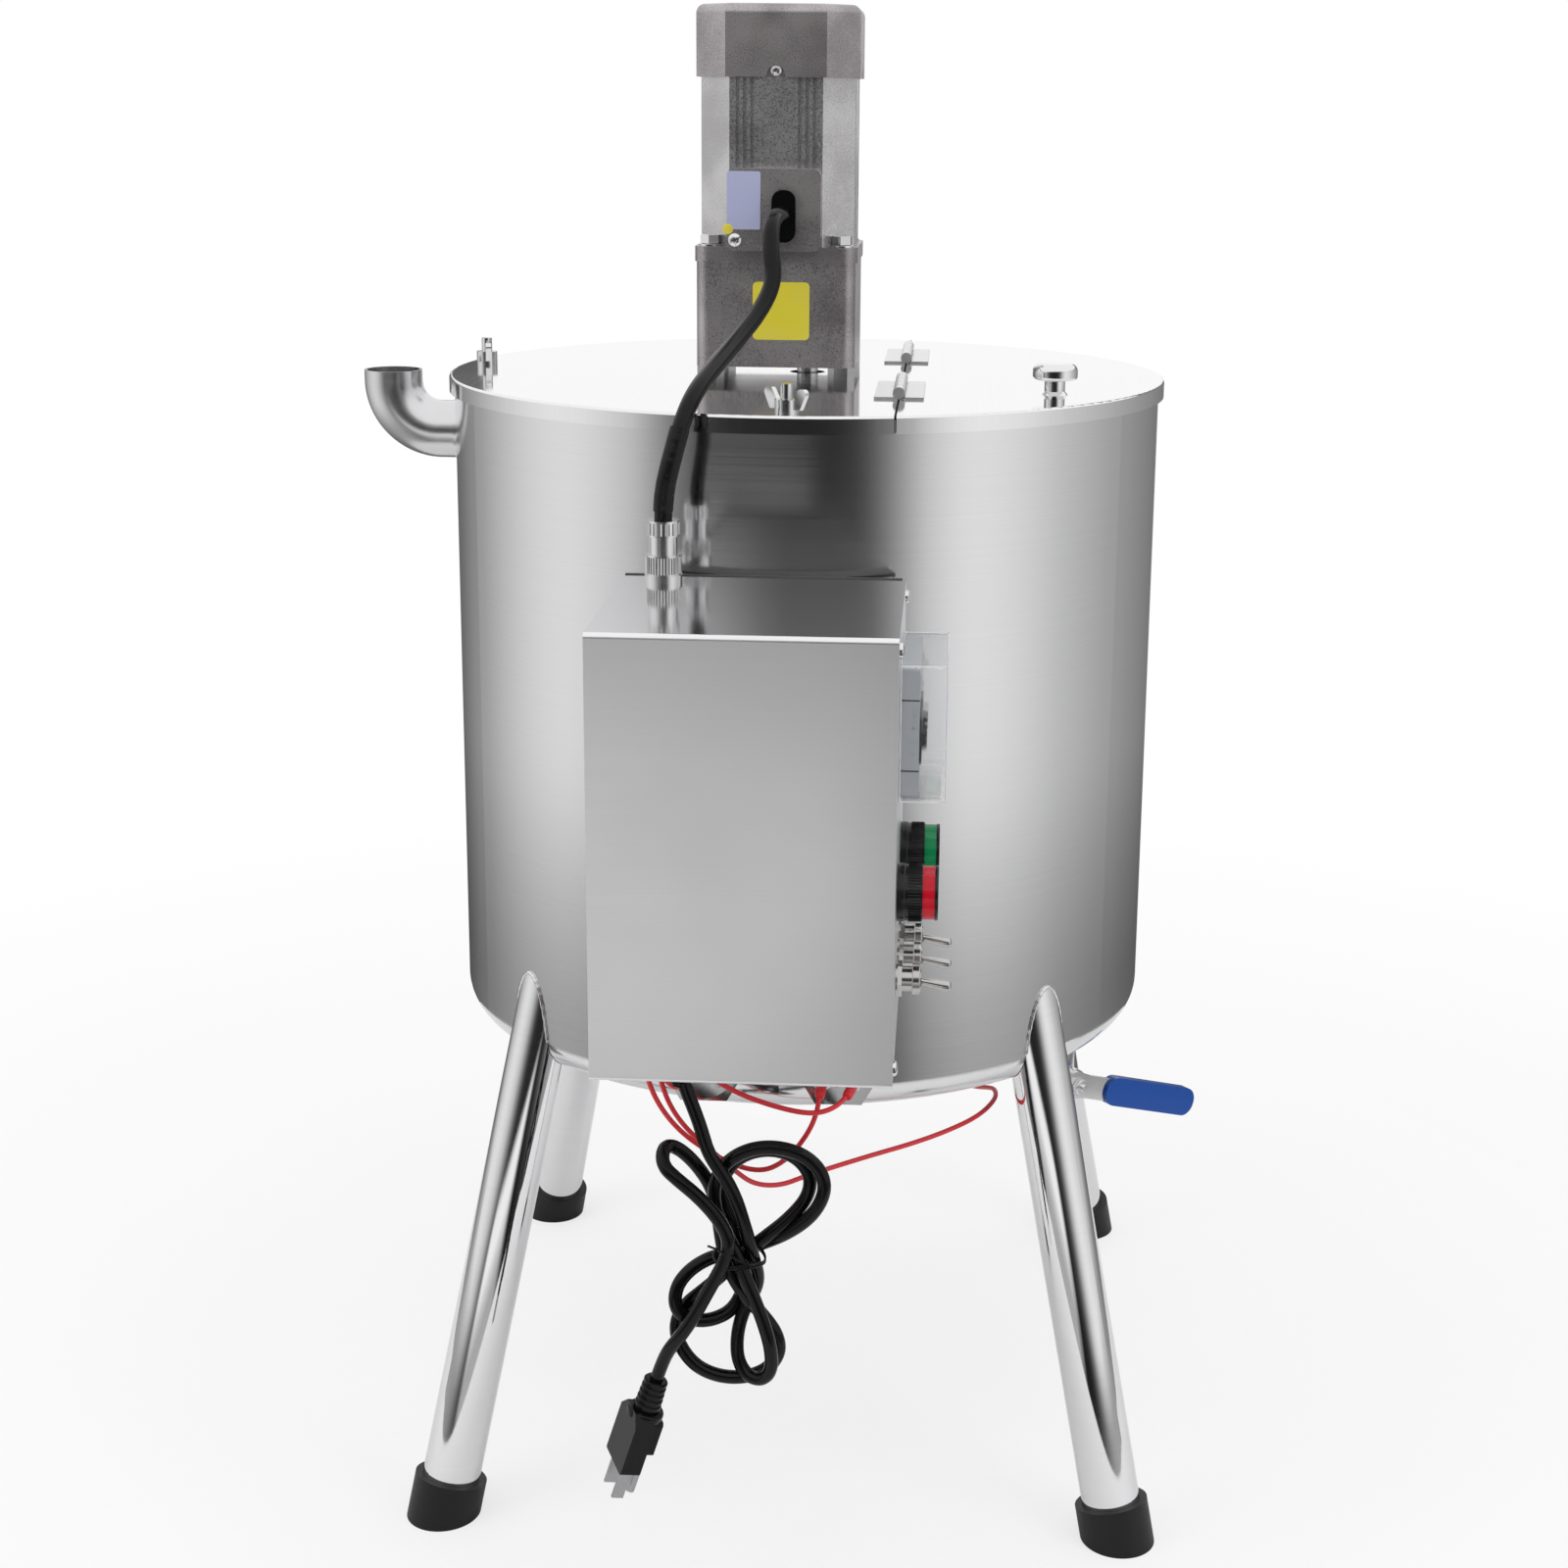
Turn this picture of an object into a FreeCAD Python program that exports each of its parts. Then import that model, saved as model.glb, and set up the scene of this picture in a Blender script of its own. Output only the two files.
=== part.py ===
import FreeCAD, Part
import math
import os
import re

import Sketcher
from FreeCAD import Placement, Rotation, Vector

# Jacketed mixing tank on four splayed legs: a round stainless vessel with a hinged lid,
# a gear motor on top that turns an agitator, a control box in front, two screw-in heating
# elements, a filler elbow, and a drain valve underneath.
# Frame: the tank's axis is Z, the floor is Z = 0, and the control box faces -Y.
# All lengths are in millimetres, all angles in degrees.

SIZES = {
    # Jacket: outer wall with a rounded lower edge
    "wall_radius": 200,
    "wall_sheet": 2,
    "jacket_floor": 250,
    "jacket_height": 365,
    "cut_margin": 5,
    "hole_clearance": 0.2,
    "seat_gap": 0.3,
    "wall_cut_depth": 30,
    "knuckle_radius": 16,
    "jacket_top": "=jacket_floor + jacket_height",
    # Inner vessel and the rim that closes the jacket
    "jacket_space": 23,
    "vessel_sheet": 2,
    "vessel_floor_height": 95,
    "vessel_corner": 40,
    "vessel_radius": "=wall_radius - wall_sheet - jacket_space",
    "vessel_floor": "=jacket_floor + vessel_floor_height",
    "rim_sheet": 2,
    "rim_top": "=jacket_top + rim_sheet",
    # Lid: a fixed half and a flap, with a turned-down skirt
    "lid_seat_gap": 0.3,
    "lid_sheet": 2,
    "skirt_sheet": 2,
    "skirt_clearance": 1,
    "skirt_drop": 9,
    "lid_edge_round": 1.6,
    "lid_under": "=rim_top + lid_seat_gap",
    "lid_top": "=lid_under + lid_sheet",
    "lid_radius": "=wall_radius + skirt_clearance + skirt_sheet",
    "hinge_line": 55.5,
    "flap_gap": 1.2,
    "hinge_barrel_radius": 3.2,
    "hinge_pin_radius": 1.5,
    "hinge_pin_clearance": 0.1,
    "hinge_leaf_sheet": 1.2,
    "hinge_leaf_width": 13,
    "hinge_leaf_gap": 0.5,
    "hinge_length": 75,
    "hinge_from_axis": 52,
    "knuckle_gap": 0.5,
    "hinge_axis_height": "=lid_top + hinge_barrel_radius",
    "knob_x": 137.6,
    "knob_y": -94.5,
    "knob_radius": 12,
    "knob_height": 17,
    "knob_neck_radius": 5.5,
    "knob_neck_height": 8,
    "knob_foot_height": 2,
    "knob_foot_flare": 1.5,
    "knob_under_round": 2,
    "knob_top_round": 4.5,
    # Studs and wing nuts that hold the fixed half down
    "stud_circle": 190,
    "stud_radius": 3,
    "stud_clearance": 0.6,
    "stud_length": 17,
    "stud_first_angle": 90,
    "stud_side_angle": 174,
    "stud_front_angle": 270.4,
    "wing_hub_radius": 6,
    "wing_hub_height": 7,
    "wing_span": 27,
    "wing_root": 4,
    "wing_lean": 1,
    "wing_tip_width": 6,
    "wing_tip_round": 2.5,
    "wing_inner_round": 2,
    "wing_foot": 2,
    "wing_turn": 25,
    "wing_turn_step": 40,
    "wing_height": 12.5,
    "wing_thick": 3,
    "thread_clearance": 0.08,
    # Gear motor
    "motor_offset": -15.5,
    "standoff_height": 6.8,
    "standoff_across": 13,
    "motor_bolt_inset": 12,
    "gearbox_overhang": 1.5,
    "gearbox_height": 57.5,
    "gearbox_corner": 7,
    "motor_flange_overhang": 2.5,
    "motor_flange_thick": 8.3,
    "motor_flange_corner": 9,
    "motor_body_width": 85,
    "motor_body_height": 91,
    "motor_body_chamfer": 17,
    "fin_slot_width": 2,
    "fin_slot_depth": 2.5,
    "fin_pitch": 4,
    "fin_centre_band": 26,
    "fan_cover_overhang": 2.5,
    "fan_cover_height": 38.6,
    "fan_cover_chamfer": 17.5,
    "fan_cover_round": 5,
    "fan_notch_radius": 5,
    "fan_notch_depth": 2.5,
    "lead_cover_width": 51,
    "lead_cover_height": 44,
    "lead_cover_depth": 13,
    "lead_cover_lift": 7,
    "lead_cover_gap": 0.5,
    "lead_cover_round": 4,
    "gearbox_width": "=motor_body_width + 2 * gearbox_overhang",
    "motor_flange_width": "=motor_body_width + 2 * motor_flange_overhang",
    "fan_cover_width": "=motor_body_width + 2 * fan_cover_overhang",
    "motor_bolt_spacing": "=motor_body_width - motor_bolt_inset",
    "gearbox_bottom": "=lid_top + standoff_height",
    "gearbox_top": "=gearbox_bottom + gearbox_height",
    "motor_flange_top": "=gearbox_top + motor_flange_thick",
    "motor_body_top": "=motor_flange_top + motor_body_height",
    "lead_cover_bottom": "=gearbox_top + lead_cover_lift",
    "lead_cover_face": "=-motor_flange_width / 2 - lead_cover_depth",
    "grommet_x": -9.8,
    "grommet_rise": 19,
    "grommet_width": 13,
    "grommet_height": 28,
    "grommet_round": 6,
    "grommet_length": 5,
    "cable_radius": 4.5,
    "grommet_z": "=lead_cover_bottom + grommet_rise",
    # Agitator
    "shaft_radius": 6,
    "shaft_clearance": 0.05,
    "shaft_in_gearbox": 20,
    "shaft_lid_clearance": 4,
    "shaft_floor_gap": 28,
    "paddle_width": 150,
    "paddle_height": 45,
    "paddle_thick": 4,
    "paddle_hub_radius": 11,
    "shaft_bottom": "=vessel_floor + vessel_sheet + shaft_floor_gap",
    # Filler elbow of the jacket
    "elbow_radius": 16.5,
    "elbow_sheet": 1.5,
    "elbow_bend": 28,
    "elbow_run": 12,
    "elbow_rise": 6,
    "elbow_inward": 6,
    "elbow_drop": 32,
    "elbow_ring_radius": 18.5,
    "elbow_ring_thick": 2.5,
    "elbow_height": "=jacket_top - elbow_drop",
    # Legs and feet
    "leg_radius": 16,
    "leg_sheet": 1.5,
    "leg_foot_circle": 265,
    "leg_joint_drop": 7.42,
    "leg_tilt": "=atan((leg_foot_circle - wall_radius) / (jacket_floor - leg_joint_drop))",
    "leg_weld_gap": 0.2,
    "foot_radius": 20,
    "foot_height": 21,
    "foot_floor": 8,
    "leg_end_gap": 6,
    "leg_spare": 80,
    "foot_sink": 12,
    "foot_clearance": 0.1,
    # Control box
    "box_centre": -7.75,
    "box_width": 140.5,
    "box_depth": 138,
    "box_height": 212.5,
    "box_bottom": 327,
    "box_sheet": 1.5,
    "box_bend": 2.5,
    "box_stand_off": 5,
    "box_flange": 11,
    "panel_sheet": 1.5,
    "rail_spacing": 76,
    "rail_width": 22,
    "rail_height": 170,
    "rail_depth": 30,
    "box_top": "=box_bottom + box_height",
    "box_back": "=-wall_radius - box_stand_off",
    "box_front": "=box_back - box_depth",
    "panel_face": "=box_centre + box_width / 2",
    "panel_back": "=panel_face - panel_sheet",
    # Temperature controller on the panel
    "controller_width": 73,
    "controller_height": 65,
    "controller_back_inset": 32,
    "controller_top_inset": 19.5,
    "controller_cover_depth": 22,
    "controller_cover_sheet": 1.5,
    "controller_face_depth": 9,
    "controller_fit": 0.4,
    "controller_corner": 1.5,
    "controller_cover_corner": 3,
    "controller_body_width": 66,
    "controller_body_height": 58,
    "controller_body_depth": 60,
    "wheel_radius": 7,
    "wheel_thick": 6,
    "wheel_proud": 3.5,
    "wheel_gap": 0.3,
    "wheel_pitch": 9,
    "wheel_stack_spacing": 30,
    "controller_y": "=box_back - controller_back_inset - controller_width / 2",
    "controller_z": "=box_top - controller_top_inset - controller_height / 2",
    # Indicator lamps
    "lamp_radius": 13.25,
    "lamp_bezel_depth": 12,
    "lamp_lens_depth": 7,
    "lamp_lens_radius": 12.6,
    "lamp_lens_round": 1.5,
    "lamp_stem_radius": 10.5,
    "lamp_stem_length": 30,
    "lamp_back_inset": 31.5,
    "lamp_spacing": 66.5,
    "lamp_share": 0.388235,
    "lamp_z": "=box_bottom + box_height * lamp_share",
    # Toggle switches
    "toggle_back_inset": 38.5,
    "toggle_spacing": 30.25,
    "toggle_share": 0.188235,
    "toggle_bush_radius": 6,
    "toggle_bush_depth": 12,
    "toggle_nut_across": 15,
    "toggle_nut_thick": 3,
    "toggle_body_depth": 22,
    "toggle_body_width": 13,
    "toggle_body_height": 21,
    "toggle_body_corner": 1,
    "toggle_taper": 4,
    "toggle_tip_round": 2,
    "toggle_bore": 3.7,
    "toggle_ball_clearance": 0.05,
    "toggle_pivot_depth": 6,
    "toggle_reach": 26.5,
    "toggle_lever_radius": 1.6,
    "toggle_tip_radius": 2.6,
    "toggle_tilt": 10,
    "toggle_z": "=box_bottom + box_height * toggle_share",
    "toggle_pivot_x": "=panel_face + toggle_pivot_depth",
    # Round cable connector on the box top
    "connector_from_side": 21,
    "connector_x": "=box_centre - box_width / 2 + connector_from_side",
    "connector_inset": 13.5,
    "connector_flange_radius": 9.4,
    "connector_flange_thick": 3,
    "connector_ring_radius": 8.6,
    "connector_ring_height": 10,
    "connector_body_radius": 7,
    "connector_body_height": 9,
    "connector_clamp_radius": 7.8,
    "connector_clamp_height": 8,
    "connector_y": "=box_back - connector_inset",
    "connector_top": "=box_top + connector_flange_thick + connector_ring_height"
                     " + connector_body_height + connector_clamp_height",
    # Heating elements
    "heater_x": 35,
    "heater_shift": -3,
    "heater_rise": 35,
    "heater_boss_radius": 18.5,
    "heater_boss_bore": 15,
    "heater_boss_reach": 6,
    "heater_across": 42,
    "heater_hex_thick": 11,
    "heater_thread_length": 22,
    "heater_boss_depth": 40,
    "heater_cap_radius": 17,
    "heater_cap_depth": 7,
    "heater_thread_clearance": 0.1,
    "heater_rod_radius": 4,
    "heater_rod_length": 200,
    "heater_rod_spacing": 16,
    "terminal_radius": 3,
    "terminal_length": 9,
    "terminal_circle": 9,
    "heater_z": "=jacket_floor + heater_rise",
    "heater_seat": "=-wall_radius - heater_boss_reach",
    "heater_face": "=heater_seat - heater_hex_thick - heater_cap_depth",
    # Drain valve under the jacket
    "valve_x": 150,
    "valve_nipple_radius": 10.5,
    "valve_bore": 7.5,
    "valve_boss_radius": 15,
    "valve_boss_height": 8,
    "valve_nipple_length": 28,
    "valve_body_radius": 16,
    "valve_body_height": 54,
    "valve_socket_depth": 10,
    "valve_ball_radius": 11.5,
    "valve_ball_clearance": 0.3,
    "valve_stem_radius": 4,
    "valve_stem_clearance": 0.1,
    "valve_neck_radius": 9,
    "valve_neck_reach": 24,
    "valve_stem_angle": 40,
    "valve_open_angle": 20,
    "lever_sheet": 3,
    "lever_width": 14,
    "lever_length": 100,
    "lever_hub_radius": 9,
    "lever_hub_round": 6,
    "lever_corner": 4,
    "lever_sleeve_over": 4,
    "stem_proud": 4,
    "lever_sleeve_start": 24,
    "lever_sleeve_thick": 1.8,
    "lever_sleeve_round": 8.4,
    "lever_hub_gap": 0.6,
    "valve_top": "=jacket_floor - valve_nipple_length",
    "valve_centre": "=valve_top - valve_body_height / 2",
    "lever_plane": "=valve_neck_reach + lever_hub_gap",
    # Power lead and plug
    "lead_radius": 3.5,
    "lead_from_side": 34,
    "lead_from_back": 65,
    "lead_x": "=box_centre - box_width / 2 + lead_from_side",
    "lead_y": "=box_back - lead_from_back",
    "gland_radius": 8,
    "gland_length": 12,
    "gland_nose": 8,
    "gland_taper": 1.5,
    "hank_thick": 24,
    "hank_round": 5,
    "hank_edge_round": 1.5,
    "lead_end": "=box_bottom - gland_length",
    "plug_tilt": 17.5,
    "plug_turn": -64,
    "plug_neck_radius": 6.3,
    "plug_neck_taper": 0.8,
    "plug_neck_length": 17,
    "plug_collar_radius": 9.5,
    "plug_collar_round": 2,
    "plug_shoulder": 22.5,
    "plug_length": 50,
    "plug_width": 24,
    "plug_thick": 11,
    "plug_edge_round": 1,
    "plug_front": 8.5,
    "plug_ridge_width": 12,
    "plug_ridge_length": 20,
    "plug_ridge_thick": 7,
    "pin_length": 17,
    "blade_spacing": 12.7,
    "blade_thick": 1.6,
    "blade_width": 6.3,
    "earth_pin_offset": 6.3,
    "earth_pin_radius": 2.4,
    # Thin leads
    "wire_radius": 1.3,
    "sensor_radius": 6,
    "sensor_length": 22,
    "sensor_x": 97,
    "sensor_y": -40,
}

doc = FreeCAD.newDocument("mixing_tank")
sheet = doc.addObject("Spreadsheet::Sheet", "sizes")
for row, (name, size) in enumerate(SIZES.items(), start=1):
    sheet.set(f"A{row}", name)
    sheet.set(f"B{row}", str(size))
    sheet.setAlias(f"B{row}", name)
doc.recompute()

WORD = re.compile(r"[a-z][a-z_]*")


def formula(text):
    """The text with each size named through the sheet, as an expression needs it."""
    return WORD.sub(lambda m: "sizes." + m[0] if m[0] in SIZES else m[0], str(text))


def value(text):
    """What a formula over the sizes comes to."""
    result = sheet.evalExpression(formula(text))
    return float(getattr(result, "Value", result))


def bind(thing, path, text):
    thing.setExpression(path, formula(text))


def place(thing, x=0, y=0, z=0, axis=(0, 0, 1), angle=0):
    """Places a sub-part by formulas."""
    thing.Placement = Placement(
        Vector(value(x), value(y), value(z)), Rotation(Vector(*axis), value(angle))
    )
    for key, text in (("x", x), ("y", y), ("z", z)):
        bind(thing, f"Placement.Base.{key}", text)
    if angle != 0:
        bind(thing, "Placement.Rotation.Angle", angle)
    return thing


# Sketches


def plane_of(body, role):
    return next(plane for plane in body.Origin.OriginFeatures if plane.Role == role)


def new_body(label):
    body = doc.addObject("PartDesign::Body", label)
    body.Label = label
    body.AllowCompound = True
    return body


def new_sketch(body, role, level=0):
    """An empty sketch on one of the body's own planes, moved along its normal."""
    sketch = body.newObject("Sketcher::SketchObject", body.Name + "_sketch")
    sketch.AttachmentSupport = [(plane_of(body, role + "_Plane"), "")]
    sketch.MapMode = "FlatFace"
    sketch.AttachmentOffset = Placement(Vector(0, 0, value(level)), Rotation())
    bind(sketch, "AttachmentOffset.Base.z", level)
    return sketch


def drive(sketch, constraint, text):
    """Adds a constraint whose value is a formula."""
    number = sketch.addConstraint(constraint)
    bind(sketch, f"Constraints[{number}]", text)


def pin_point(sketch, geometry, end, x, y):
    """Holds a point of the sketch at a place given by two formulas."""
    drive(sketch, Sketcher.Constraint("DistanceX", -1, 1, geometry, end, value(x)), x)
    drive(sketch, Sketcher.Constraint("DistanceY", -1, 1, geometry, end, value(y)), y)


def add_outline(sketch, corners):
    """A closed outline. A corner is (x, y) or, where it is rounded, (x, y, radius)."""
    count = len(corners)
    places = [Vector(value(c[0]), value(c[1]), 0) for c in corners]
    starts, ends = [], []
    for i, corner in enumerate(corners):
        before = (places[i - 1] - places[i]).normalize()
        after = (places[(i + 1) % count] - places[i]).normalize()
        back = 0
        if len(corner) == 3:
            half_turn = (math.pi - before.getAngle(after)) / 2
            back = value(corner[2]) * math.tan(half_turn)
        ends.append(places[i] + before * back)
        starts.append(places[i] + after * back)
    lines = [
        sketch.addGeometry(Part.LineSegment(starts[i], ends[(i + 1) % count]), False)
        for i in range(count)
    ]
    for i, corner in enumerate(corners):
        line_in, line_out = lines[i - 1], lines[i]
        if len(corner) == 2:
            sketch.addConstraint(Sketcher.Constraint("Coincident", line_in, 2, line_out, 1))
            pin_point(sketch, line_out, 1, corner[0], corner[1])
            continue
        mark = sketch.addGeometry(Part.Point(places[i]), True)
        pin_point(sketch, mark, 1, corner[0], corner[1])
        sketch.addConstraint(Sketcher.Constraint("PointOnObject", mark, 1, line_in))
        sketch.addConstraint(Sketcher.Constraint("PointOnObject", mark, 1, line_out))
        before = (places[i - 1] - places[i]).normalize()
        after = (places[(i + 1) % count] - places[i]).normalize()
        radius = value(corner[2])
        inward = (before + after).normalize()
        half_angle = before.getAngle(after) / 2
        middle = places[i] + inward * (radius / math.sin(half_angle) - radius)
        arc = sketch.addGeometry(Part.Arc(ends[i], middle, starts[i]), False)
        first = 1 if sketch.getPoint(arc, 1).distanceToPoint(ends[i]) < 1e-6 else 2
        sketch.addConstraint(Sketcher.Constraint("Tangent", line_in, 2, arc, first))
        sketch.addConstraint(Sketcher.Constraint("Tangent", line_out, 1, arc, 3 - first))
        drive(sketch, Sketcher.Constraint("Radius", arc, radius), corner[2])


def add_circle(sketch, x, y, radius):
    centre = Vector(value(x), value(y), 0)
    circle = sketch.addGeometry(
        Part.Circle(centre, Vector(0, 0, 1), value(radius)), False
    )
    pin_point(sketch, circle, 3, x, y)
    drive(sketch, Sketcher.Constraint("Radius", circle, value(radius)), radius)


def rectangle(x, y, width, height, corner=None):
    """The corners of a rectangle around (x, y), rounded where a radius is given."""
    ends = [("-", "-"), ("+", "-"), ("+", "+"), ("-", "+")]
    tail = (corner,) if corner is not None else ()
    return [
        (f"{x} {sx} ({width}) / 2", f"{y} {sy} ({height}) / 2") + tail for sx, sy in ends
    ]


def hexagon(x, y, across, turn=0):
    """The corners of a hexagon by its width across flats."""
    reach = f"({across}) / 2 / cos(30)"
    return [
        (f"{x} + {reach} * cos({60 * i + turn})", f"{y} + {reach} * sin({60 * i + turn})")
        for i in range(6)
    ]


def octagon(x, y, width, chamfer):
    """A square with its corners cut off."""
    half = f"({width}) / 2"
    short = f"({half} - ({chamfer}))"
    signs = [(-1, -1, 1), (1, -1, 0), (1, 1, 1), (-1, 1, 0)]
    corners = []
    for sx, sy, side_first in signs:
        on_side = (f"{x} + {sx} * {half}", f"{y} + {sy} * {short}")
        on_face = (f"{x} + {sx} * {short}", f"{y} + {sy} * {half}")
        corners += [on_side, on_face] if side_first else [on_face, on_side]
    return corners


# Features


def feature(body, kind, sketch, **settings):
    item = body.newObject("PartDesign::" + kind, f"{body.Name}_{kind.lower()}")
    item.Profile = sketch
    for key, text in settings.items():
        if isinstance(text, bool):
            setattr(item, key, text)
        else:
            setattr(item, key, value(text))
            bind(item, key, text)
    sketch.Visibility = False
    return item


def pad(body, sketch, length, reverse=False):
    return feature(body, "Pad", sketch, Length=length, Reversed=reverse)


def pocket(body, sketch, depth, reverse=False):
    return feature(body, "Pocket", sketch, Length=depth, Reversed=reverse)


def turn(body, sketch, kind="Revolution", axis="V_Axis", angle=360):
    """A solid or a groove turned about one of the sketch's axes."""
    item = body.newObject("PartDesign::" + kind, f"{body.Name}_{kind.lower()}")
    item.Profile = sketch
    item.ReferenceAxis = (sketch, [axis])
    item.Angle = angle
    return item


def polar(body, original, sketch, count):
    """Copies of one feature about the normal through the sketch's origin."""
    item = body.newObject("PartDesign::PolarPattern", body.Name + "_pattern")
    item.Originals = [original]
    item.Axis = (sketch, ["N_Axis"])
    item.Angle = 360
    item.Occurrences = count
    body.Tip = item
    return item


def padded(label, role, level, outline, length, reverse=False, holes=()):
    """A body padded from one outline, with round holes given as (x, y, radius)."""
    body = new_body(label)
    sketch = new_sketch(body, role, level)
    add_outline(sketch, outline)
    for hole in holes:
        add_circle(sketch, *hole)
    pad(body, sketch, length, reverse)
    return body


def turned(label, role, outline, axis="V_Axis"):
    """A body turned from one outline."""
    body = new_body(label)
    sketch = new_sketch(body, role)
    add_outline(sketch, outline)
    turn(body, sketch, axis=axis)
    return body


def cut_round(body, role, level, holes, depth, reverse=False):
    """Round holes, each (x, y, radius), cut from a level of one of the body's planes."""
    sketch = new_sketch(body, role, level)
    for hole in holes:
        add_circle(sketch, *hole)
    return pocket(body, sketch, depth, reverse)


def cut_outline(body, role, level, outline, depth, reverse=False):
    sketch = new_sketch(body, role, level)
    add_outline(sketch, outline)
    return pocket(body, sketch, depth, reverse)


def add_pad(body, role, level, outline, length, reverse=False):
    sketch = new_sketch(body, role, level)
    add_outline(sketch, outline)
    return pad(body, sketch, length, reverse)


def add_round_pad(body, role, level, x, y, radius, length, reverse=False):
    sketch = new_sketch(body, role, level)
    add_circle(sketch, x, y, radius)
    return pad(body, sketch, length, reverse)


# Primitives and booleans


def cylinder(name, radius, height):
    item = doc.addObject("Part::Cylinder", name)
    item.Radius, item.Height = value(radius), value(height)
    bind(item, "Radius", radius)
    bind(item, "Height", height)
    return item


def boolean(kind, label, first, second):
    item = doc.addObject("Part::" + kind, label)
    item.Label = label
    item.Base, item.Tool = first, second
    return item


def compound(label, members):
    """Several like solids that share one sub-part."""
    item = doc.addObject("Part::Compound", label)
    item.Label = label
    item.Links = members
    return item


def shaped(label, shape, placement=None):
    """A sub-part whose shape is worked out here from the sizes."""
    item = doc.addObject("Part::Feature", label)
    item.Label = label
    item.Shape = shape
    if placement:
        item.Placement = placement
    return item


parts = {}


def keep(item):
    """Marks an object as a finished sub-part, named by its label."""
    parts[item.Label] = item
    return item


# Tank


def jacket_outline(gap="0"):
    """Half section of the closed form of the jacket, grown by a gap."""
    side, under = f"wall_radius + {gap}", f"jacket_floor - {gap}"
    return [
        ("0", under),
        (side, under, f"knuckle_radius + {gap}"),
        (side, "jacket_top"),
        ("0", "jacket_top"),
    ]


def jacket_form(name):
    """The closed outer form of the jacket, used to cut what is welded to it."""
    return turned(name, "XZ", jacket_outline("leg_weld_gap"))


def make_jacket():
    """The outer wall and floor, turned in sixths with a seam between the heaters."""
    body = new_body("jacket")
    sketch = new_sketch(body, "XZ")
    sketch.AttachmentOffset = Placement(Vector(0, 0, 0), Rotation(Vector(0, 1, 0), 90))
    inside = "wall_radius - wall_sheet"
    add_outline(
        sketch,
        [
            ("0", "jacket_floor"),
            ("wall_radius", "jacket_floor", "knuckle_radius"),
            ("wall_radius", "jacket_top"),
            (inside, "jacket_top"),
            (inside, "jacket_floor + wall_sheet", "knuckle_radius - wall_sheet"),
            ("0", "jacket_floor + wall_sheet"),
        ],
    )
    sixth = turn(body, sketch, angle=60)
    ring = polar(body, sixth, sketch, 6)
    ring.Axis = (plane_of(body, "Z_Axis"), [""])
    heaters = [
        ("heater_shift - heater_x", "heater_z", "heater_boss_bore"),
        ("heater_shift + heater_x", "heater_z", "heater_boss_bore"),
    ]
    cut_round(body, "XZ", "wall_radius - wall_cut_depth", heaters, "2 * wall_cut_depth",
              reverse=True)
    elbow = [("0", "elbow_height", "elbow_radius - elbow_sheet")]
    cut_round(body, "YZ", "-wall_radius - cut_margin", elbow, "wall_cut_depth", reverse=True)
    drain = [("valve_x", "0", "valve_bore"), ("sensor_x", "sensor_y", "sensor_radius - 2")]
    cut_round(body, "XY", "jacket_floor + cut_margin", drain, "2 * cut_margin")
    for item in body.Group:
        if hasattr(item, "Refine"):
            item.Refine = False
    return keep(body)


def make_vessel():
    outer, inner = "vessel_radius", "vessel_radius - vessel_sheet"
    floor = "vessel_floor"
    return keep(
        turned(
            "inner_vessel",
            "XZ",
            [
                ("0", floor),
                (outer, floor, "vessel_corner"),
                (outer, "jacket_top"),
                (inner, "jacket_top"),
                (inner, "vessel_floor + vessel_sheet", "vessel_corner - vessel_sheet"),
                ("0", "vessel_floor + vessel_sheet"),
            ],
        )
    )


def make_rim():
    body = new_body("jacket_rim")
    sketch = new_sketch(body, "XY", "jacket_top")
    add_circle(sketch, "0", "0", "wall_radius")
    add_circle(sketch, "0", "0", "vessel_radius - vessel_sheet")
    pad(body, sketch, "rim_sheet")
    return keep(body)


# Lid


def lid_disc(label):
    """The whole round lid with its turned-down skirt."""
    skirt = "lid_radius - skirt_sheet"
    bottom = "lid_top - skirt_drop"
    return turned(
        label,
        "XZ",
        [
            ("0", "lid_under"),
            (skirt, "lid_under"),
            (skirt, bottom),
            ("lid_radius", bottom),
            ("lid_radius", "lid_top", "lid_edge_round"),
            ("0", "lid_top"),
        ],
    )


def cut_side(body, low, high):
    """Cuts away a stretch of the lid between two values of x."""
    outline = [
        (low, "-lid_radius - cut_margin"),
        (high, "-lid_radius - 5"),
        (high, "lid_radius + 5"),
        (low, "lid_radius + 5"),
    ]
    cut_outline(body, "XY", "lid_top + cut_margin", outline, "skirt_drop + 2 * cut_margin")


def stud_places():
    return [
        (f"stud_circle * cos({angle})", f"stud_circle * sin({angle})")
        for angle in ("stud_first_angle", "stud_side_angle", "stud_front_angle")
    ]


def make_lid():
    fixed = lid_disc("lid_fixed_half")
    cut_side(fixed, "hinge_line - flap_gap / 2", "lid_radius + 5")
    holes = [(x, y, "stud_radius + stud_clearance") for x, y in stud_places()]
    holes.append(("0", "0", "shaft_radius + shaft_lid_clearance"))
    cut_round(fixed, "XY", "lid_top + 1", holes, "lid_sheet + 2")
    keep(fixed)
    flap = lid_disc("lid_flap")
    cut_side(flap, "-lid_radius - 5", "hinge_line + flap_gap / 2")
    keep(flap)


def knuckle_run(number, count):
    """Where a hinge knuckle starts along the hinge, and its length."""
    pitch = f"(hinge_length + knuckle_gap) / {count}"
    return f"{number} * {pitch}", f"{pitch} - knuckle_gap"


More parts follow.
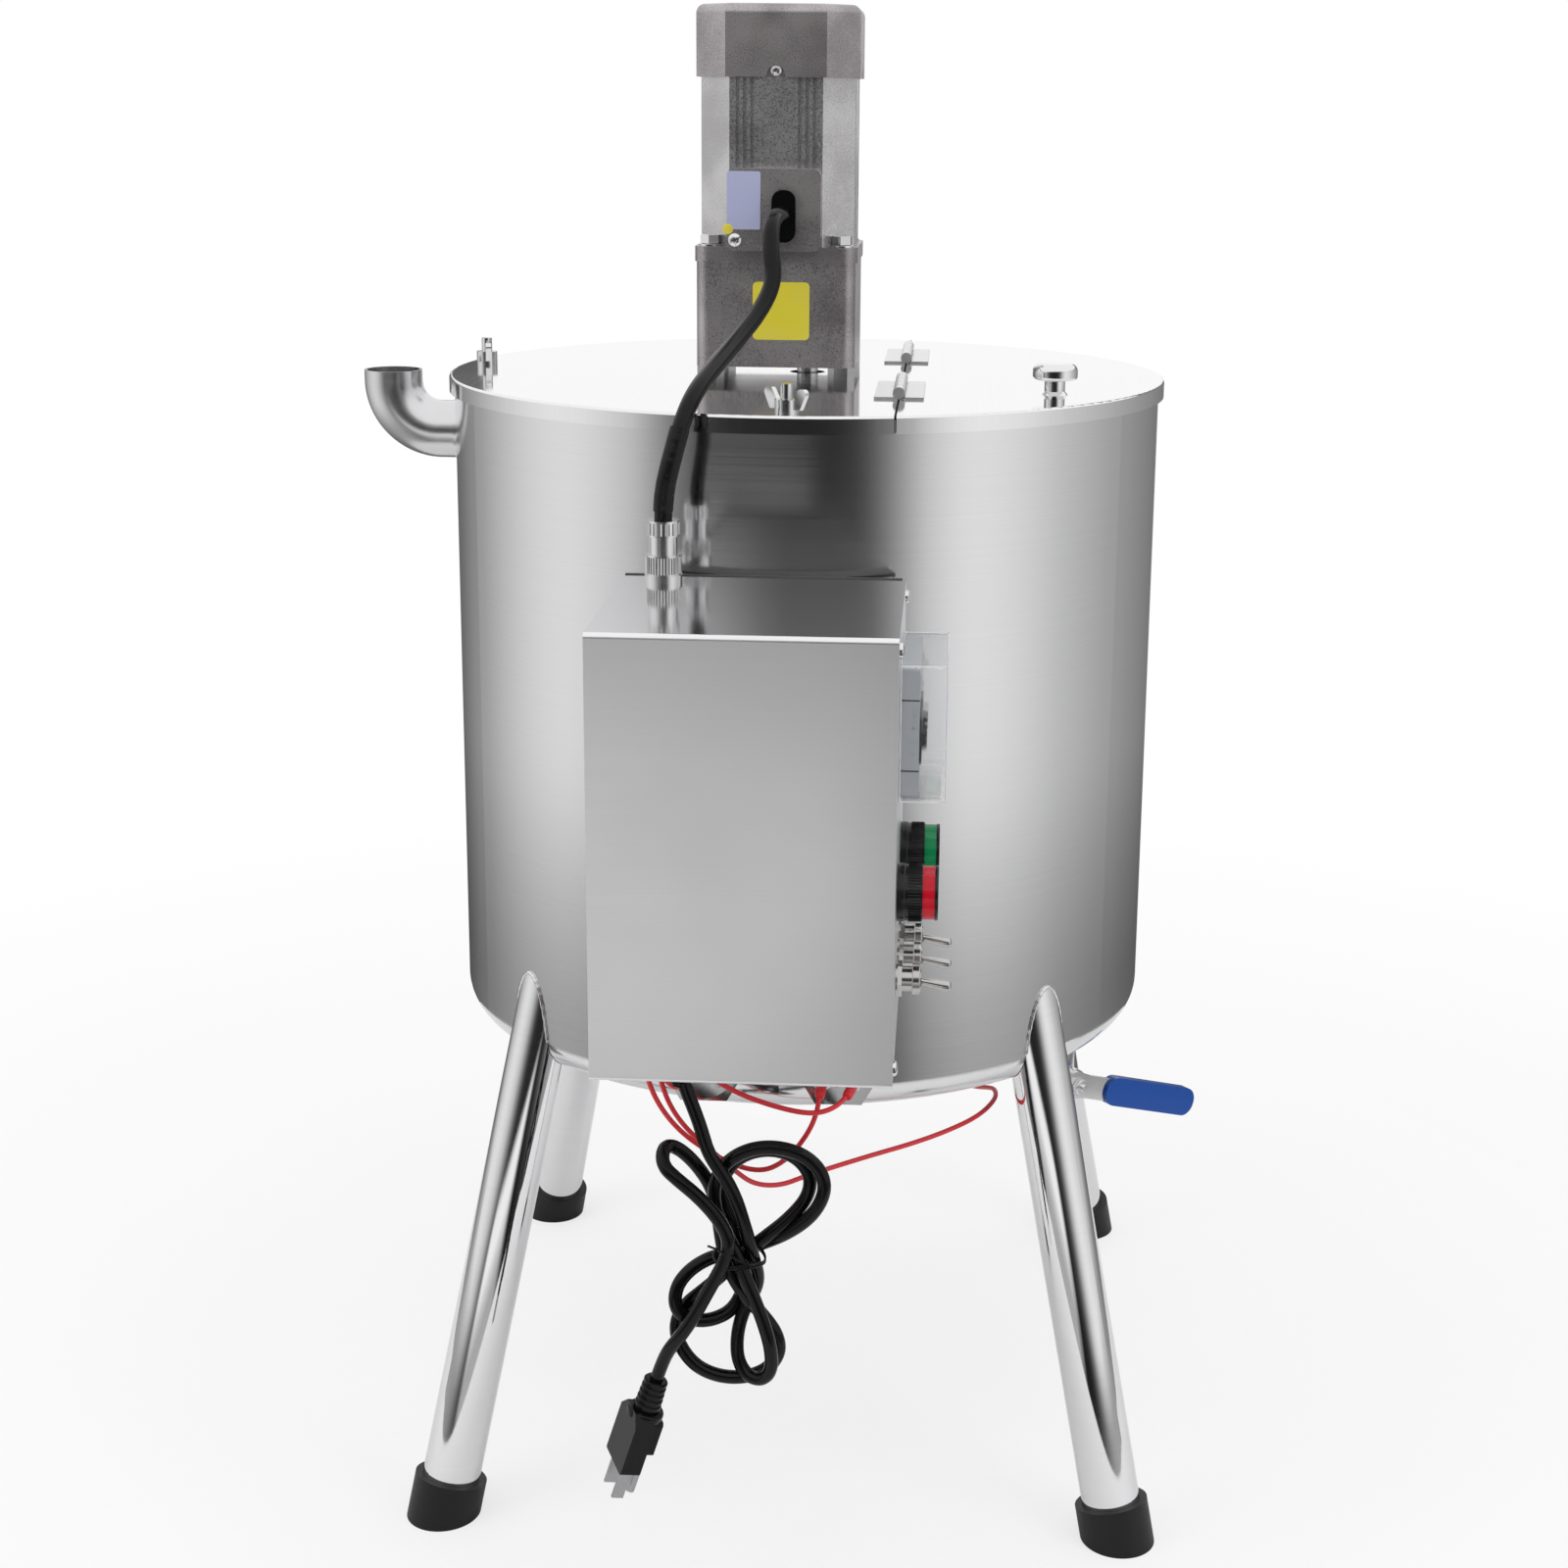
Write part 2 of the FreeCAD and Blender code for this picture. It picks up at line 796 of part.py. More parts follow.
def hinge_solid(side, numbers, with_pin):
    """A hinge leaf with its knuckles, its axis along Y from the origin."""
    barrel, pin = value("hinge_barrel_radius"), value("hinge_pin_radius")
    bore = pin + value("hinge_pin_clearance")
    gap, width = value("hinge_leaf_gap"), value("hinge_leaf_width")
    sheet_thick, length = value("hinge_leaf_sheet"), value("hinge_length")
    left = min(side * gap, side * width)
    leaf = Part.makeBox(width - gap, length, sheet_thick, Vector(left, 0, -barrel))
    web_left = min(0, side * gap)
    along = Vector(0, 1, 0)
    for number in range(5):
        start, run = (value(text) for text in knuckle_run(number, 5))
        at = Vector(0, start, 0)
        if number in numbers:
            knuckle = Part.makeCylinder(barrel, run, at, along)
            web = Part.makeBox(abs(gap), run, sheet_thick, Vector(web_left, start, -barrel))
            leaf = leaf.fuse([knuckle, web])
        else:
            margin = value("knuckle_gap")
            space = Part.makeCylinder(
                barrel + margin, run + 2 * margin, at - along * margin, along
            )
            leaf = leaf.cut(space)
    if with_pin:
        leaf = leaf.fuse(Part.makeCylinder(pin, length, Vector(0, 0, 0), along))
    else:
        leaf = leaf.cut(Part.makeCylinder(bore, length, Vector(0, 0, 0), along))
    return leaf.removeSplitter()


def make_hinges():
    low = value("hinge_from_axis")
    starts = [low, -low - value("hinge_length")]
    for label, side, numbers, with_pin in (
        ("hinge_fixed_leaves", -1, (0, 2, 4), True),
        ("hinge_flap_leaves", 1, (1, 3), False),
    ):
        leaf = hinge_solid(side, numbers, with_pin)
        leaves = [leaf.translated(Vector(0, start, 0)) for start in starts]
        at = Vector(value("hinge_line"), 0, value("hinge_axis_height"))
        keep(shaped(label, Part.Compound(leaves), Placement(at, Rotation())))


def make_knob():
    body = turned(
        "lid_knob",
        "XZ",
        [
            ("0", "0"),
            ("knob_neck_radius + knob_foot_flare", "0"),
            ("knob_neck_radius", "knob_foot_height"),
            ("knob_neck_radius", "knob_neck_height"),
            ("knob_radius", "knob_neck_height", "knob_under_round"),
            ("knob_radius", "knob_height", "knob_top_round"),
            ("0", "knob_height"),
        ],
    )
    keep(place(body, "knob_x", "knob_y", "lid_top"))


def make_wing_nuts():
    """Studs that stand on the rim, and the wing nuts screwed down on them."""
    studs, nuts = [], []
    for number, (x, y) in enumerate(stud_places(), start=1):
        stud = cylinder(f"lid_stud_{number}", "stud_radius", "stud_length")
        studs.append(place(stud, x, y, "rim_top"))
        nut = new_body(f"wing_nut_{number}")
        hub = new_sketch(nut, "XY")
        add_circle(hub, "0", "0", "wing_hub_radius")
        pad(nut, hub, "wing_hub_height")
        wing = [
            ("-wing_span / 2 + wing_root", "wing_foot"),
            ("wing_span / 2 - wing_root", "wing_foot"),
            ("wing_span / 2 + wing_lean", "wing_height", "wing_tip_round"),
            ("wing_span / 2 + wing_lean - wing_tip_width", "wing_height",
             "wing_inner_round"),
            ("wing_root", "wing_hub_height - wing_foot"),
            ("-wing_root", "wing_hub_height - wing_foot"),
            ("-wing_span / 2 - wing_lean + wing_tip_width", "wing_height",
             "wing_inner_round"),
            ("-wing_span / 2 - wing_lean", "wing_height", "wing_tip_round"),
        ]
        add_pad(nut, "XZ", "-wing_thick / 2", wing, "wing_thick")
        bore = [("0", "0", "stud_radius + thread_clearance")]
        cut_round(nut, "XY", "stud_length", bore, "stud_length + 5")
        nuts.append(place(nut, x, y, "lid_top", angle=f"wing_turn + {number} * wing_turn_step"))
    keep(compound("lid_studs", studs))
    keep(compound("wing_nuts", nuts))


# Gear motor


def motor_corners():
    half = "motor_bolt_spacing / 2"
    return [
        (f"motor_offset {sx} {half}", f"0 {sy} {half}")
        for sx, sy in (("-", "-"), ("+", "-"), ("+", "+"), ("-", "+"))
    ]


def make_motor():
    gearbox = padded(
        "gearbox",
        "XY",
        "gearbox_bottom",
        rectangle("motor_offset", "0", "gearbox_width", "gearbox_width", "gearbox_corner"),
        "gearbox_height",
    )
    bore = [("0", "0", "shaft_radius + shaft_clearance")]
    cut_round(gearbox, "XY", "gearbox_bottom + shaft_in_gearbox", bore, "shaft_in_gearbox")
    keep(gearbox)

    flange = padded(
        "motor_flange",
        "XY",
        "gearbox_top",
        rectangle(
            "motor_offset", "0", "motor_flange_width", "motor_flange_width",
            "motor_flange_corner",
        ),
        "motor_flange_thick",
    )
    cover = rectangle(
        "motor_offset", "lead_cover_bottom + lead_cover_height / 2",
        "lead_cover_width", "lead_cover_height", "lead_cover_round",
    )
    add_pad(flange, "XZ", "motor_body_width / 2 + lead_cover_gap", cover,
            "(motor_flange_width - motor_body_width) / 2 - lead_cover_gap + lead_cover_depth")
    keep(flange)

    frame = padded(
        "motor_frame",
        "XY",
        "motor_flange_top",
        octagon("0", "0", "motor_body_width", "motor_body_chamfer"),
        "motor_body_height",
    )
    slots = new_sketch(frame, "XY", "motor_flange_top")
    reach = "motor_body_width / 2 - motor_body_chamfer"
    for side in (-1, 1):
        for number in range(3):
            middle = f"{side} * (fin_centre_band / 2 + {number} * fin_pitch)"
            add_outline(
                slots,
                rectangle(middle, "-motor_body_width / 2", "fin_slot_width",
                          "2 * fin_slot_depth"),
            )
    first = pocket(frame, slots, "motor_body_height", reverse=True)
    polar(frame, first, slots, 4)
    keep(place(frame, "motor_offset"))

    fan = padded(
        "fan_cover",
        "XY",
        "motor_body_top",
        octagon("0", "0", "fan_cover_width", "fan_cover_chamfer"),
        "fan_cover_height",
    )
    round_top(fan, "fan_cover_round")
    notch = new_sketch(fan, "XZ", "fan_cover_width / 2 - fan_notch_depth")
    add_circle(notch, "0", "motor_body_top + 1", "fan_notch_radius")
    cut = pocket(fan, notch, "fan_notch_depth + 1", reverse=True)
    notches = polar(fan, cut, notch, 4)
    notches.Axis = (plane_of(fan, "Z_Axis"), [""])
    keep(place(fan, "motor_offset"))


def round_top(body, radius):
    """Rounds the edges round the highest face of a body."""
    doc.recompute()
    solid = body.Tip
    top = solid.Shape.BoundBox.ZMax - value(radius) / 2
    names = [f"Edge{i}" for i, edge in enumerate(solid.Shape.Edges, start=1)
             if edge.BoundBox.ZMin > top]
    fillet = body.newObject("PartDesign::Fillet", body.Name + "_fillet")
    fillet.Base = (solid, names)
    fillet.Radius = value(radius)
    bind(fillet, "Radius", radius)
    body.Tip = fillet


def make_motor_fixings():
    nuts = []
    for number, (x, y) in enumerate(motor_corners(), start=1):
        nut = padded(
            f"standoff_{number}", "XY", "lid_top", hexagon(x, y, "standoff_across"),
            "standoff_height",
        )
        nuts.append(nut)
    keep(compound("motor_standoffs", nuts))


def make_grommet():
    body = new_body("cable_grommet")
    sketch = new_sketch(body, "XZ", "-lead_cover_face")
    add_outline(sketch, rectangle("grommet_x", "grommet_z", "grommet_width", "grommet_height",
                                  "grommet_round"))
    pad(body, sketch, "grommet_length")
    keep(body)


def make_agitator():
    body = new_body("agitator")
    top = "gearbox_bottom + shaft_in_gearbox - 1"
    add_round_pad(body, "XY", "shaft_bottom", "0", "0", "shaft_radius",
                  f"{top} - shaft_bottom")
    add_round_pad(body, "XY", "shaft_bottom", "0", "0", "paddle_hub_radius", "paddle_height")
    blade = rectangle("0", "0", "paddle_width", "paddle_thick")
    add_pad(body, "XY", "shaft_bottom", blade, "paddle_height")
    keep(body)


# Filler elbow, legs and feet


def make_elbow():
    radius, thick = value("elbow_radius"), value("elbow_sheet")
    bend, run, rise = value("elbow_bend"), value("elbow_run"), value("elbow_rise")
    start = Vector(0, 0, 0)
    bend_start = Vector(-run, 0, 0)
    corner = bend * math.sqrt(0.5)
    middle = Vector(-run - corner, 0, bend - corner)
    bend_end = Vector(-run - bend, 0, bend)
    mouth = bend_end + Vector(0, 0, rise)
    inward = Vector(value("elbow_inward"), 0, 0)
    path = Part.Wire(
        [
            Part.LineSegment(start + inward, bend_start).toShape(),
            Part.Arc(bend_start, middle, bend_end).toShape(),
            Part.LineSegment(bend_end, mouth).toShape(),
        ]
    )
    along = Vector(-1, 0, 0)

    def tube(size):
        ring = Part.Wire([Part.Circle(start + inward, along, size).toShape()])
        return path.makePipeShell([ring], True, True)

    outer = tube(radius)
    ring = Part.makeCylinder(
        value("elbow_ring_radius"), value("elbow_ring_thick + elbow_inward"), inward, along
    )
    solid = outer.fuse(ring).cut(tube(radius - thick))
    wall = Part.makeCylinder(
        value("wall_radius + leg_weld_gap"), value("4 * elbow_radius + 4 * elbow_sheet"),
        Vector(value("wall_radius"), 0, -value("2 * elbow_radius + 2 * elbow_sheet")),
    )
    solid = solid.cut(wall)
    at = Placement(Vector(-value("wall_radius"), 0, value("elbow_height")), Rotation())
    keep(shaped("filler_elbow", solid, at))


LEG_NAMES = ("rear_right", "rear_left", "front_left", "front_right")


def leg_part(name, radius, length, start):
    """A round bar along the leg in the plane of X and Z, from a distance above the floor."""
    bar = cylinder(name, radius, length)
    return place(
        bar,
        f"leg_foot_circle - ({start}) * sin(leg_tilt)",
        "0",
        f"({start}) * cos(leg_tilt)",
        axis=(0, -1, 0),
        angle="leg_tilt",
    )


def make_legs():
    length = "jacket_floor + leg_spare"
    for number, name in enumerate(LEG_NAMES):
        tube = boolean(
            "Cut",
            f"leg_tube_{name}",
            leg_part(f"leg_outside_{name}", "leg_radius", length,
                     "foot_floor + leg_end_gap"),
            leg_part(f"leg_inside_{name}", "leg_radius - leg_sheet", f"{length} + cut_margin",
                     "foot_floor + leg_end_gap - 1"),
        )
        leg = boolean("Cut", f"leg_{name}", tube, jacket_form(f"leg_cutter_{name}"))
        keep(place(leg, angle=f"{45 + 90 * number}"))

        ferrule = leg_part(f"ferrule_{name}", "foot_radius", "foot_height + foot_sink",
                           "-foot_sink")
        socket = leg_part(
            f"ferrule_socket_{name}", "leg_radius + foot_clearance",
            "foot_height + foot_sink",
            "foot_floor + leg_end_gap - seat_gap",
        )
        hollow = boolean("Cut", f"ferrule_hollow_{name}", ferrule, socket)
        ground = doc.addObject("Part::Box", f"ferrule_ground_{name}")
        for side in ("Length", "Width", "Height"):
            bind(ground, side, "4 * foot_radius")
        place(ground, "leg_foot_circle - 2 * foot_radius", "-2 * foot_radius",
              "-4 * foot_radius")
        foot = boolean("Cut", f"foot_{name}", hollow, ground)
        keep(place(foot, angle=f"{45 + 90 * number}"))


# Control box


def make_box():
    body = new_body("control_box")
    outline = rectangle(
        "(box_front + box_back) / 2", "box_bottom + box_height / 2",
        "box_depth", "box_height", "box_bend",
    )
    sketch = new_sketch(body, "YZ", "box_centre - box_width / 2")
    add_outline(sketch, outline)
    pad(body, sketch, "box_width - panel_sheet")
    inside = rectangle(
        "(box_front + box_back) / 2", "box_bottom + box_height / 2",
        "box_depth - 2 * box_sheet", "box_height - 2 * box_sheet", "box_bend - box_sheet",
    )
    cut_outline(body, "YZ", "panel_back - box_sheet", inside,
                "box_width - 3 * box_sheet + box_sheet - panel_sheet")
    mouth = rectangle(
        "(box_front + box_back) / 2", "box_bottom + box_height / 2",
        "box_depth - 2 * box_flange", "box_height - 2 * box_flange", "box_bend",
    )
    cut_outline(body, "YZ", "panel_face + 1", mouth, "box_sheet + panel_sheet + 2")
    top_hole = [("connector_x", "connector_y", "connector_body_radius + hole_clearance")]
    cut_round(body, "XY", "box_top + 1", top_hole, "box_sheet + 2")
    keep(body)

    panel = new_body("control_panel")
    sketch = new_sketch(panel, "YZ", "panel_back")
    add_outline(sketch, outline)
    pad(panel, sketch, "panel_sheet")
    window = rectangle(
        "controller_y", "controller_z", "controller_body_width + controller_fit",
        "controller_body_height + controller_fit",
    )
    cut_outline(panel, "YZ", "panel_face + 1", window, "panel_sheet + 2")
    holes = [(y, "lamp_z", "lamp_stem_radius + hole_clearance") for y in lamp_places()]
    holes += [(y, "toggle_z", "toggle_bush_radius + hole_clearance") for y in toggle_places()]
    cut_round(panel, "YZ", "panel_face + 1", holes, "panel_sheet + 2")
    keep(panel)

    rails = []
    for number, side in enumerate((-1, 1), start=1):
        rail = padded(
            f"box_rail_bar_{number}",
            "XY",
            "box_bottom + (box_height - rail_height) / 2",
            rectangle(f"box_centre + {side} * rail_spacing / 2",
                      "box_back + rail_depth / 2", "rail_width", "rail_depth"),
            "rail_height",
        )
        rails.append(
            boolean("Cut", f"box_rail_{number}", rail, jacket_form(f"rail_cutter_{number}"))
        )
    keep(compound("box_rails", rails))


def lamp_places():
    return ["box_back - lamp_back_inset", "box_back - lamp_back_inset - lamp_spacing"]


def toggle_places():
    return [f"box_back - toggle_back_inset - {i} * toggle_spacing" for i in range(3)]


def make_controller():
    body = padded(
        "temperature_controller",
        "YZ",
        "panel_face - controller_body_depth",
        rectangle("controller_y", "controller_z", "controller_body_width",
                  "controller_body_height"),
        "controller_body_depth",
    )
    face = rectangle(
        "controller_y", "controller_z",
        "controller_width - 2 * controller_cover_sheet - controller_fit",
        "controller_height - 2 * controller_cover_sheet - controller_fit",
        "controller_corner",
    )
    add_pad(body, "YZ", "panel_face", face, "controller_face_depth")
    wells = new_sketch(body, "YZ", "panel_face + controller_face_depth")
    for y, z in wheel_places():
        add_outline(wells, rectangle(y, z, "2 * (wheel_radius + wheel_gap)",
                                      "wheel_thick + 2 * wheel_gap"))
    pocket(body, wells, "2 * wheel_radius")
    keep(body)

    cover = padded(
        "controller_cover",
        "YZ",
        "panel_face",
        rectangle("controller_y", "controller_z", "controller_width", "controller_height",
                  "controller_cover_corner"),
        "controller_cover_depth",
    )
    inside = rectangle(
        "controller_y", "controller_z", "controller_width - 2 * controller_cover_sheet",
        "controller_height - 2 * controller_cover_sheet", "controller_corner",
    )
    cut_outline(cover, "YZ", "panel_face + controller_cover_depth - controller_cover_sheet",
                inside, "controller_cover_depth")
    keep(cover)

    wheels = []
    for number, (y, z) in enumerate(wheel_places(), start=1):
        wheel = cylinder(f"thumbwheel_{number}", "wheel_radius", "wheel_thick")
        at_x = "panel_face + controller_face_depth - wheel_radius + wheel_proud"
        wheels.append(place(wheel, at_x, y, f"{z} - wheel_thick / 2"))
    keep(compound("thumbwheels", wheels))


def wheel_places():
    return [
        (f"controller_y + {side} * wheel_stack_spacing / 2",
         f"controller_z + {step} * wheel_pitch")
        for side in (-1, 1)
        for step in (-1, 0, 1)
    ]


def make_lamps():
    bezels = []
    for number, (y, colour) in enumerate(zip(lamp_places(), ("green", "red")), start=1):
        bezel = new_body(f"lamp_bezel_{number}")
        add_round_pad(bezel, "YZ", "panel_face - lamp_stem_length", y, "lamp_z",
                      "lamp_stem_radius", "lamp_stem_length")
        add_round_pad(bezel, "YZ", "panel_face", y, "lamp_z", "lamp_radius",
                      "lamp_bezel_depth")
        bezels.append(bezel)
        lens = turned(
            f"lamp_{colour}",
            "XZ",
            [
                ("0", "0"),
                ("lamp_lens_radius", "0"),
                ("lamp_lens_radius", "lamp_lens_depth", "lamp_lens_round"),
                ("0", "lamp_lens_depth"),
            ],
        )
        at_x = "panel_face + lamp_bezel_depth"
        keep(place(lens, at_x, y, "lamp_z", axis=(0, 1, 0), angle="90"))
    keep(compound("lamp_bezels", bezels))


def make_toggles():
    bushes = []
    for number, y in enumerate(toggle_places(), start=1):
        bush = new_body(f"toggle_bush_{number}")
        case = rectangle(y, "toggle_z", "toggle_body_width", "toggle_body_height",
                         "toggle_body_corner")
        add_pad(bush, "YZ", "panel_back - toggle_body_depth", case, "toggle_body_depth")
        add_round_pad(bush, "YZ", "panel_back", y, "toggle_z", "toggle_bush_radius",
                      "toggle_bush_depth + panel_sheet")
        add_pad(bush, "YZ", "panel_face", hexagon(y, "toggle_z", "toggle_nut_across"),
                "toggle_nut_thick")
        bore = [(y, "toggle_z", "toggle_bore")]
        cut_round(bush, "YZ", "panel_face + toggle_bush_depth + 1", bore,
                  "toggle_bush_depth + 1")
        bushes.append(bush)

        lever = turned(
            f"toggle_lever_{number}",
            "XZ",
            [
                ("0", "-toggle_lever_radius"),
                ("toggle_lever_radius", "-toggle_lever_radius"),
                ("toggle_lever_radius", "toggle_taper"),
                ("toggle_tip_radius", "toggle_reach - toggle_pivot_depth - toggle_taper"),
                ("toggle_tip_radius", "toggle_reach - toggle_pivot_depth",
                 "toggle_tip_round"),
                ("0", "toggle_reach - toggle_pivot_depth"),
            ],
        )
        ball = body_ball(lever, "toggle_bore - toggle_ball_clearance")
        lever.Tip = ball
        place(lever, "toggle_pivot_x", y, "toggle_z", axis=(0, 1, 0),
              angle="90 + toggle_tilt")
        keep(lever)
    keep(compound("toggle_bushes", bushes))


def body_ball(body, radius):
    """A ball about the body's origin, fused to it."""
    ball = body.newObject("PartDesign::AdditiveSphere", body.Name + "_ball")
    ball.Radius = value(radius)
    bind(ball, "Radius", radius)
    return ball


def make_connector():
    steps = [
        ("connector_flange_radius", "connector_flange_thick"),
        ("connector_ring_radius", "connector_ring_height"),
        ("connector_body_radius", "connector_body_height"),
        ("connector_clamp_radius", "connector_clamp_height"),
    ]
    outline, level = [("0", "0")], "0"
    for radius, rise in steps:
        outline.append((radius, level))
        level = f"{level} + {rise}"
        outline.append((radius, level))
    outline.append(("0", level))
    body = turned("cable_connector", "XZ", outline)
    keep(place(body, "connector_x", "connector_y", "box_top"))


# Heating elements and drain valve


def heater_places():
    return ["heater_shift - heater_x", "heater_shift + heater_x"]


def make_heaters():
    bosses, heaters, terminals = [], [], []
    for number, x in enumerate(heater_places(), start=1):
        ring = new_body(f"heater_boss_ring_{number}")
        sketch = new_sketch(ring, "XZ", "-heater_seat")
        add_circle(sketch, x, "heater_z", "heater_boss_radius")
        add_circle(sketch, x, "heater_z", "heater_boss_bore")
        pad(ring, sketch, "heater_boss_depth", reverse=True)
        bosses.append(
            boolean("Cut", f"heater_boss_{number}", ring, jacket_form(f"boss_cutter_{number}"))
        )
        heater = new_body(f"heater_{number}")
        add_pad(heater, "XZ", "-heater_seat", hexagon(x, "heater_z", "heater_across"),
                "heater_hex_thick")
        add_round_pad(heater, "XZ", "-heater_seat + heater_hex_thick", x, "heater_z",
                      "heater_cap_radius", "heater_cap_depth")
        add_round_pad(heater, "XZ", "-heater_seat", x, "heater_z",
                      "heater_boss_bore - heater_thread_clearance", "heater_thread_length",
                      True)
        for side in (-1, 1):
            add_round_pad(heater, "XZ", "-heater_seat - heater_thread_length",
                          f"{x} + {side} * heater_rod_spacing / 2", "heater_z",
                          "heater_rod_radius", "heater_rod_length", True)
        heaters.append(heater)
        for step in range(3):
            angle = 90 + 120 * step
            post = new_body(f"heater_terminal_{number}_{step + 1}")
            add_round_pad(
                post, "XZ", "-heater_face",
                f"{x} + terminal_circle * cos({angle})",
                f"heater_z + terminal_circle * sin({angle})",
                "terminal_radius", "terminal_length",
            )
            terminals.append(post)
    keep(compound("heater_bosses", bosses))
    keep(compound("heaters", heaters))
    keep(compound("heater_terminals", terminals))


def make_valve():
    nipple = new_body("drain_nipple")
    sketch = new_sketch(nipple, "XY", "jacket_floor")
    add_circle(sketch, "0", "0", "valve_boss_radius")
    add_circle(sketch, "0", "0", "valve_bore")
    pad(nipple, sketch, "valve_boss_height", reverse=True)
    pipe = new_sketch(nipple, "XY", "jacket_floor - valve_boss_height")
    add_circle(pipe, "0", "0", "valve_nipple_radius")
    add_circle(pipe, "0", "0", "valve_bore")
    pad(nipple, pipe,
        "valve_nipple_length - valve_boss_height + valve_socket_depth", reverse=True)
    keep(place(nipple, "valve_x"))

    half = "valve_body_height / 2"
    body = turned(
        "drain_valve_body",
        "XZ",
        [
            ("0", f"-{half}"),
            ("valve_body_radius", f"-{half}"),
            ("valve_body_radius", half),
            ("0", half),
        ],
    )
    add_round_pad(body, "XZ", "0", "0", "0", "valve_neck_radius", "valve_neck_reach")
    bore = [("0", "0", "valve_bore")]
    cut_round(body, "XY", f"{half} + 1", bore, "valve_body_height + 2")
    sockets = [("0", "0", "valve_nipple_radius + thread_clearance")]
    cut_round(body, "XY", half, sockets, "valve_socket_depth + seat_gap")
    cut_round(body, "XY", f"-{half}", sockets, "valve_socket_depth", reverse=True)
    stem_hole = [("0", "0", "valve_stem_radius + valve_stem_clearance")]
    cut_round(body, "XZ", "valve_neck_reach + 1", stem_hole, "valve_neck_reach")
    space = body.newObject("PartDesign::SubtractiveSphere", "ball_space")
    space.Radius = value("valve_ball_radius + valve_ball_clearance")
    bind(space, "Radius", "valve_ball_radius + valve_ball_clearance")
    place(body, "valve_x", "0", "valve_centre", angle="valve_stem_angle")
    keep(body)

    ball = new_body("drain_valve_ball")
    sphere = ball.newObject("PartDesign::AdditiveSphere", "ball_form")
    sphere.Radius = value("valve_ball_radius")
    bind(sphere, "Radius", "valve_ball_radius")
    way = new_sketch(ball, "YZ", "valve_ball_radius + 1")
    add_circle(way, "0", "0", "valve_bore")
    pocket(ball, way, "2 * valve_ball_radius + 2")
    add_round_pad(ball, "XZ", "valve_bore + 1", "0", "0", "valve_stem_radius",
                  "lever_plane + lever_sheet + stem_proud - valve_bore - 1")
    lever = [
        ("-lever_hub_radius", "-lever_hub_radius", "lever_hub_round"),
        ("lever_hub_radius", "-lever_width / 2", "lever_corner"),
        ("lever_length", "-lever_width / 2", "lever_corner"),
        ("lever_length", "lever_width / 2", "lever_corner"),
        ("lever_hub_radius", "lever_width / 2", "lever_corner"),
        ("-lever_hub_radius", "lever_hub_radius", "lever_hub_round"),
    ]
    handle = new_body("drain_valve_lever")
    sketch = new_sketch(handle, "XZ", "lever_plane")
    add_outline(sketch, lever)
    add_circle(sketch, "0", "0", "valve_stem_radius + thread_clearance")
    pad(handle, sketch, "lever_sheet")
    sleeve = new_body("drain_lever_sleeve")
    sketch = new_sketch(sleeve, "XZ", "lever_plane - lever_sleeve_thick")
    grip = rectangle("(lever_sleeve_start + lever_length + lever_sleeve_over) / 2", "0",
                     "lever_length + lever_sleeve_over - lever_sleeve_start",
                     "lever_width + 2 * lever_sleeve_thick", "lever_sleeve_round")
    add_outline(sketch, grip)
    pad(sleeve, sketch, "lever_sheet + 2 * lever_sleeve_thick")
    slot = rectangle("(lever_sleeve_start + lever_length) / 2", "0",
                     "lever_length - lever_sleeve_start + 2 * thread_clearance + seat_gap",
                     "lever_width + 2 * thread_clearance", "lever_corner")
    cut_outline(sleeve, "XZ", "lever_plane - thread_clearance", slot,
                "lever_sheet + 2 * thread_clearance", reverse=True)
    opened = Rotation(Vector(0, 1, 0), value("valve_open_angle"))
    aimed = Rotation(Vector(0, 0, 1), value("valve_stem_angle"))
    at = Vector(value("valve_x"), 0, value("valve_centre"))
    for piece in (ball, handle, sleeve):
        piece.Placement = Placement(at, aimed.multiply(opened))
        keep(piece)


# Leads


def smooth_path(points, tight=0.45):
    """Straight runs joined by tangent arcs, with each arc as large as its runs allow."""
    edges, here, radii = [], points[0], []
    for before, corner, after in zip(points, points[1:], points[2:]):
        back, ahead = before - corner, after - corner
        shorter = min(back.Length, ahead.Length)
        half_turn = (math.pi - back.getAngle(ahead)) / 2
        radius = tight * shorter / math.tan(half_turn)
        radii.append(round(radius, 1))
        back, ahead = back.normalize(), ahead.normalize()
        arc_start = corner + back * (tight * shorter)
        arc_end = corner + ahead * (tight * shorter)
        toward = (back + ahead).normalize()
        middle = corner + toward * (radius / math.cos(half_turn) - radius)
        edges.append(Part.LineSegment(here, arc_start).toShape())
        edges.append(Part.Arc(arc_start, middle, arc_end).toShape())
        here = arc_end
    edges.append(Part.LineSegment(here, points[-1]).toShape())
    return Part.Wire(edges), radii


def lead(label, points, radius):
    """A lead: a round tube along its route."""
    points = [Vector(*point) for point in points]
    path, radii = smooth_path(points)
    ring = Part.Wire([Part.Circle(points[0], points[1] - points[0], radius).toShape()])
    solid = path.makePipeShell([ring], True, True)
    expected = math.pi * radius**2 * path.Length
    print(label, "length", round(path.Length, 1), "radii", radii,
          "volume ratio", round(solid.Volume / expected, 4))
    keep(shaped(label, solid))


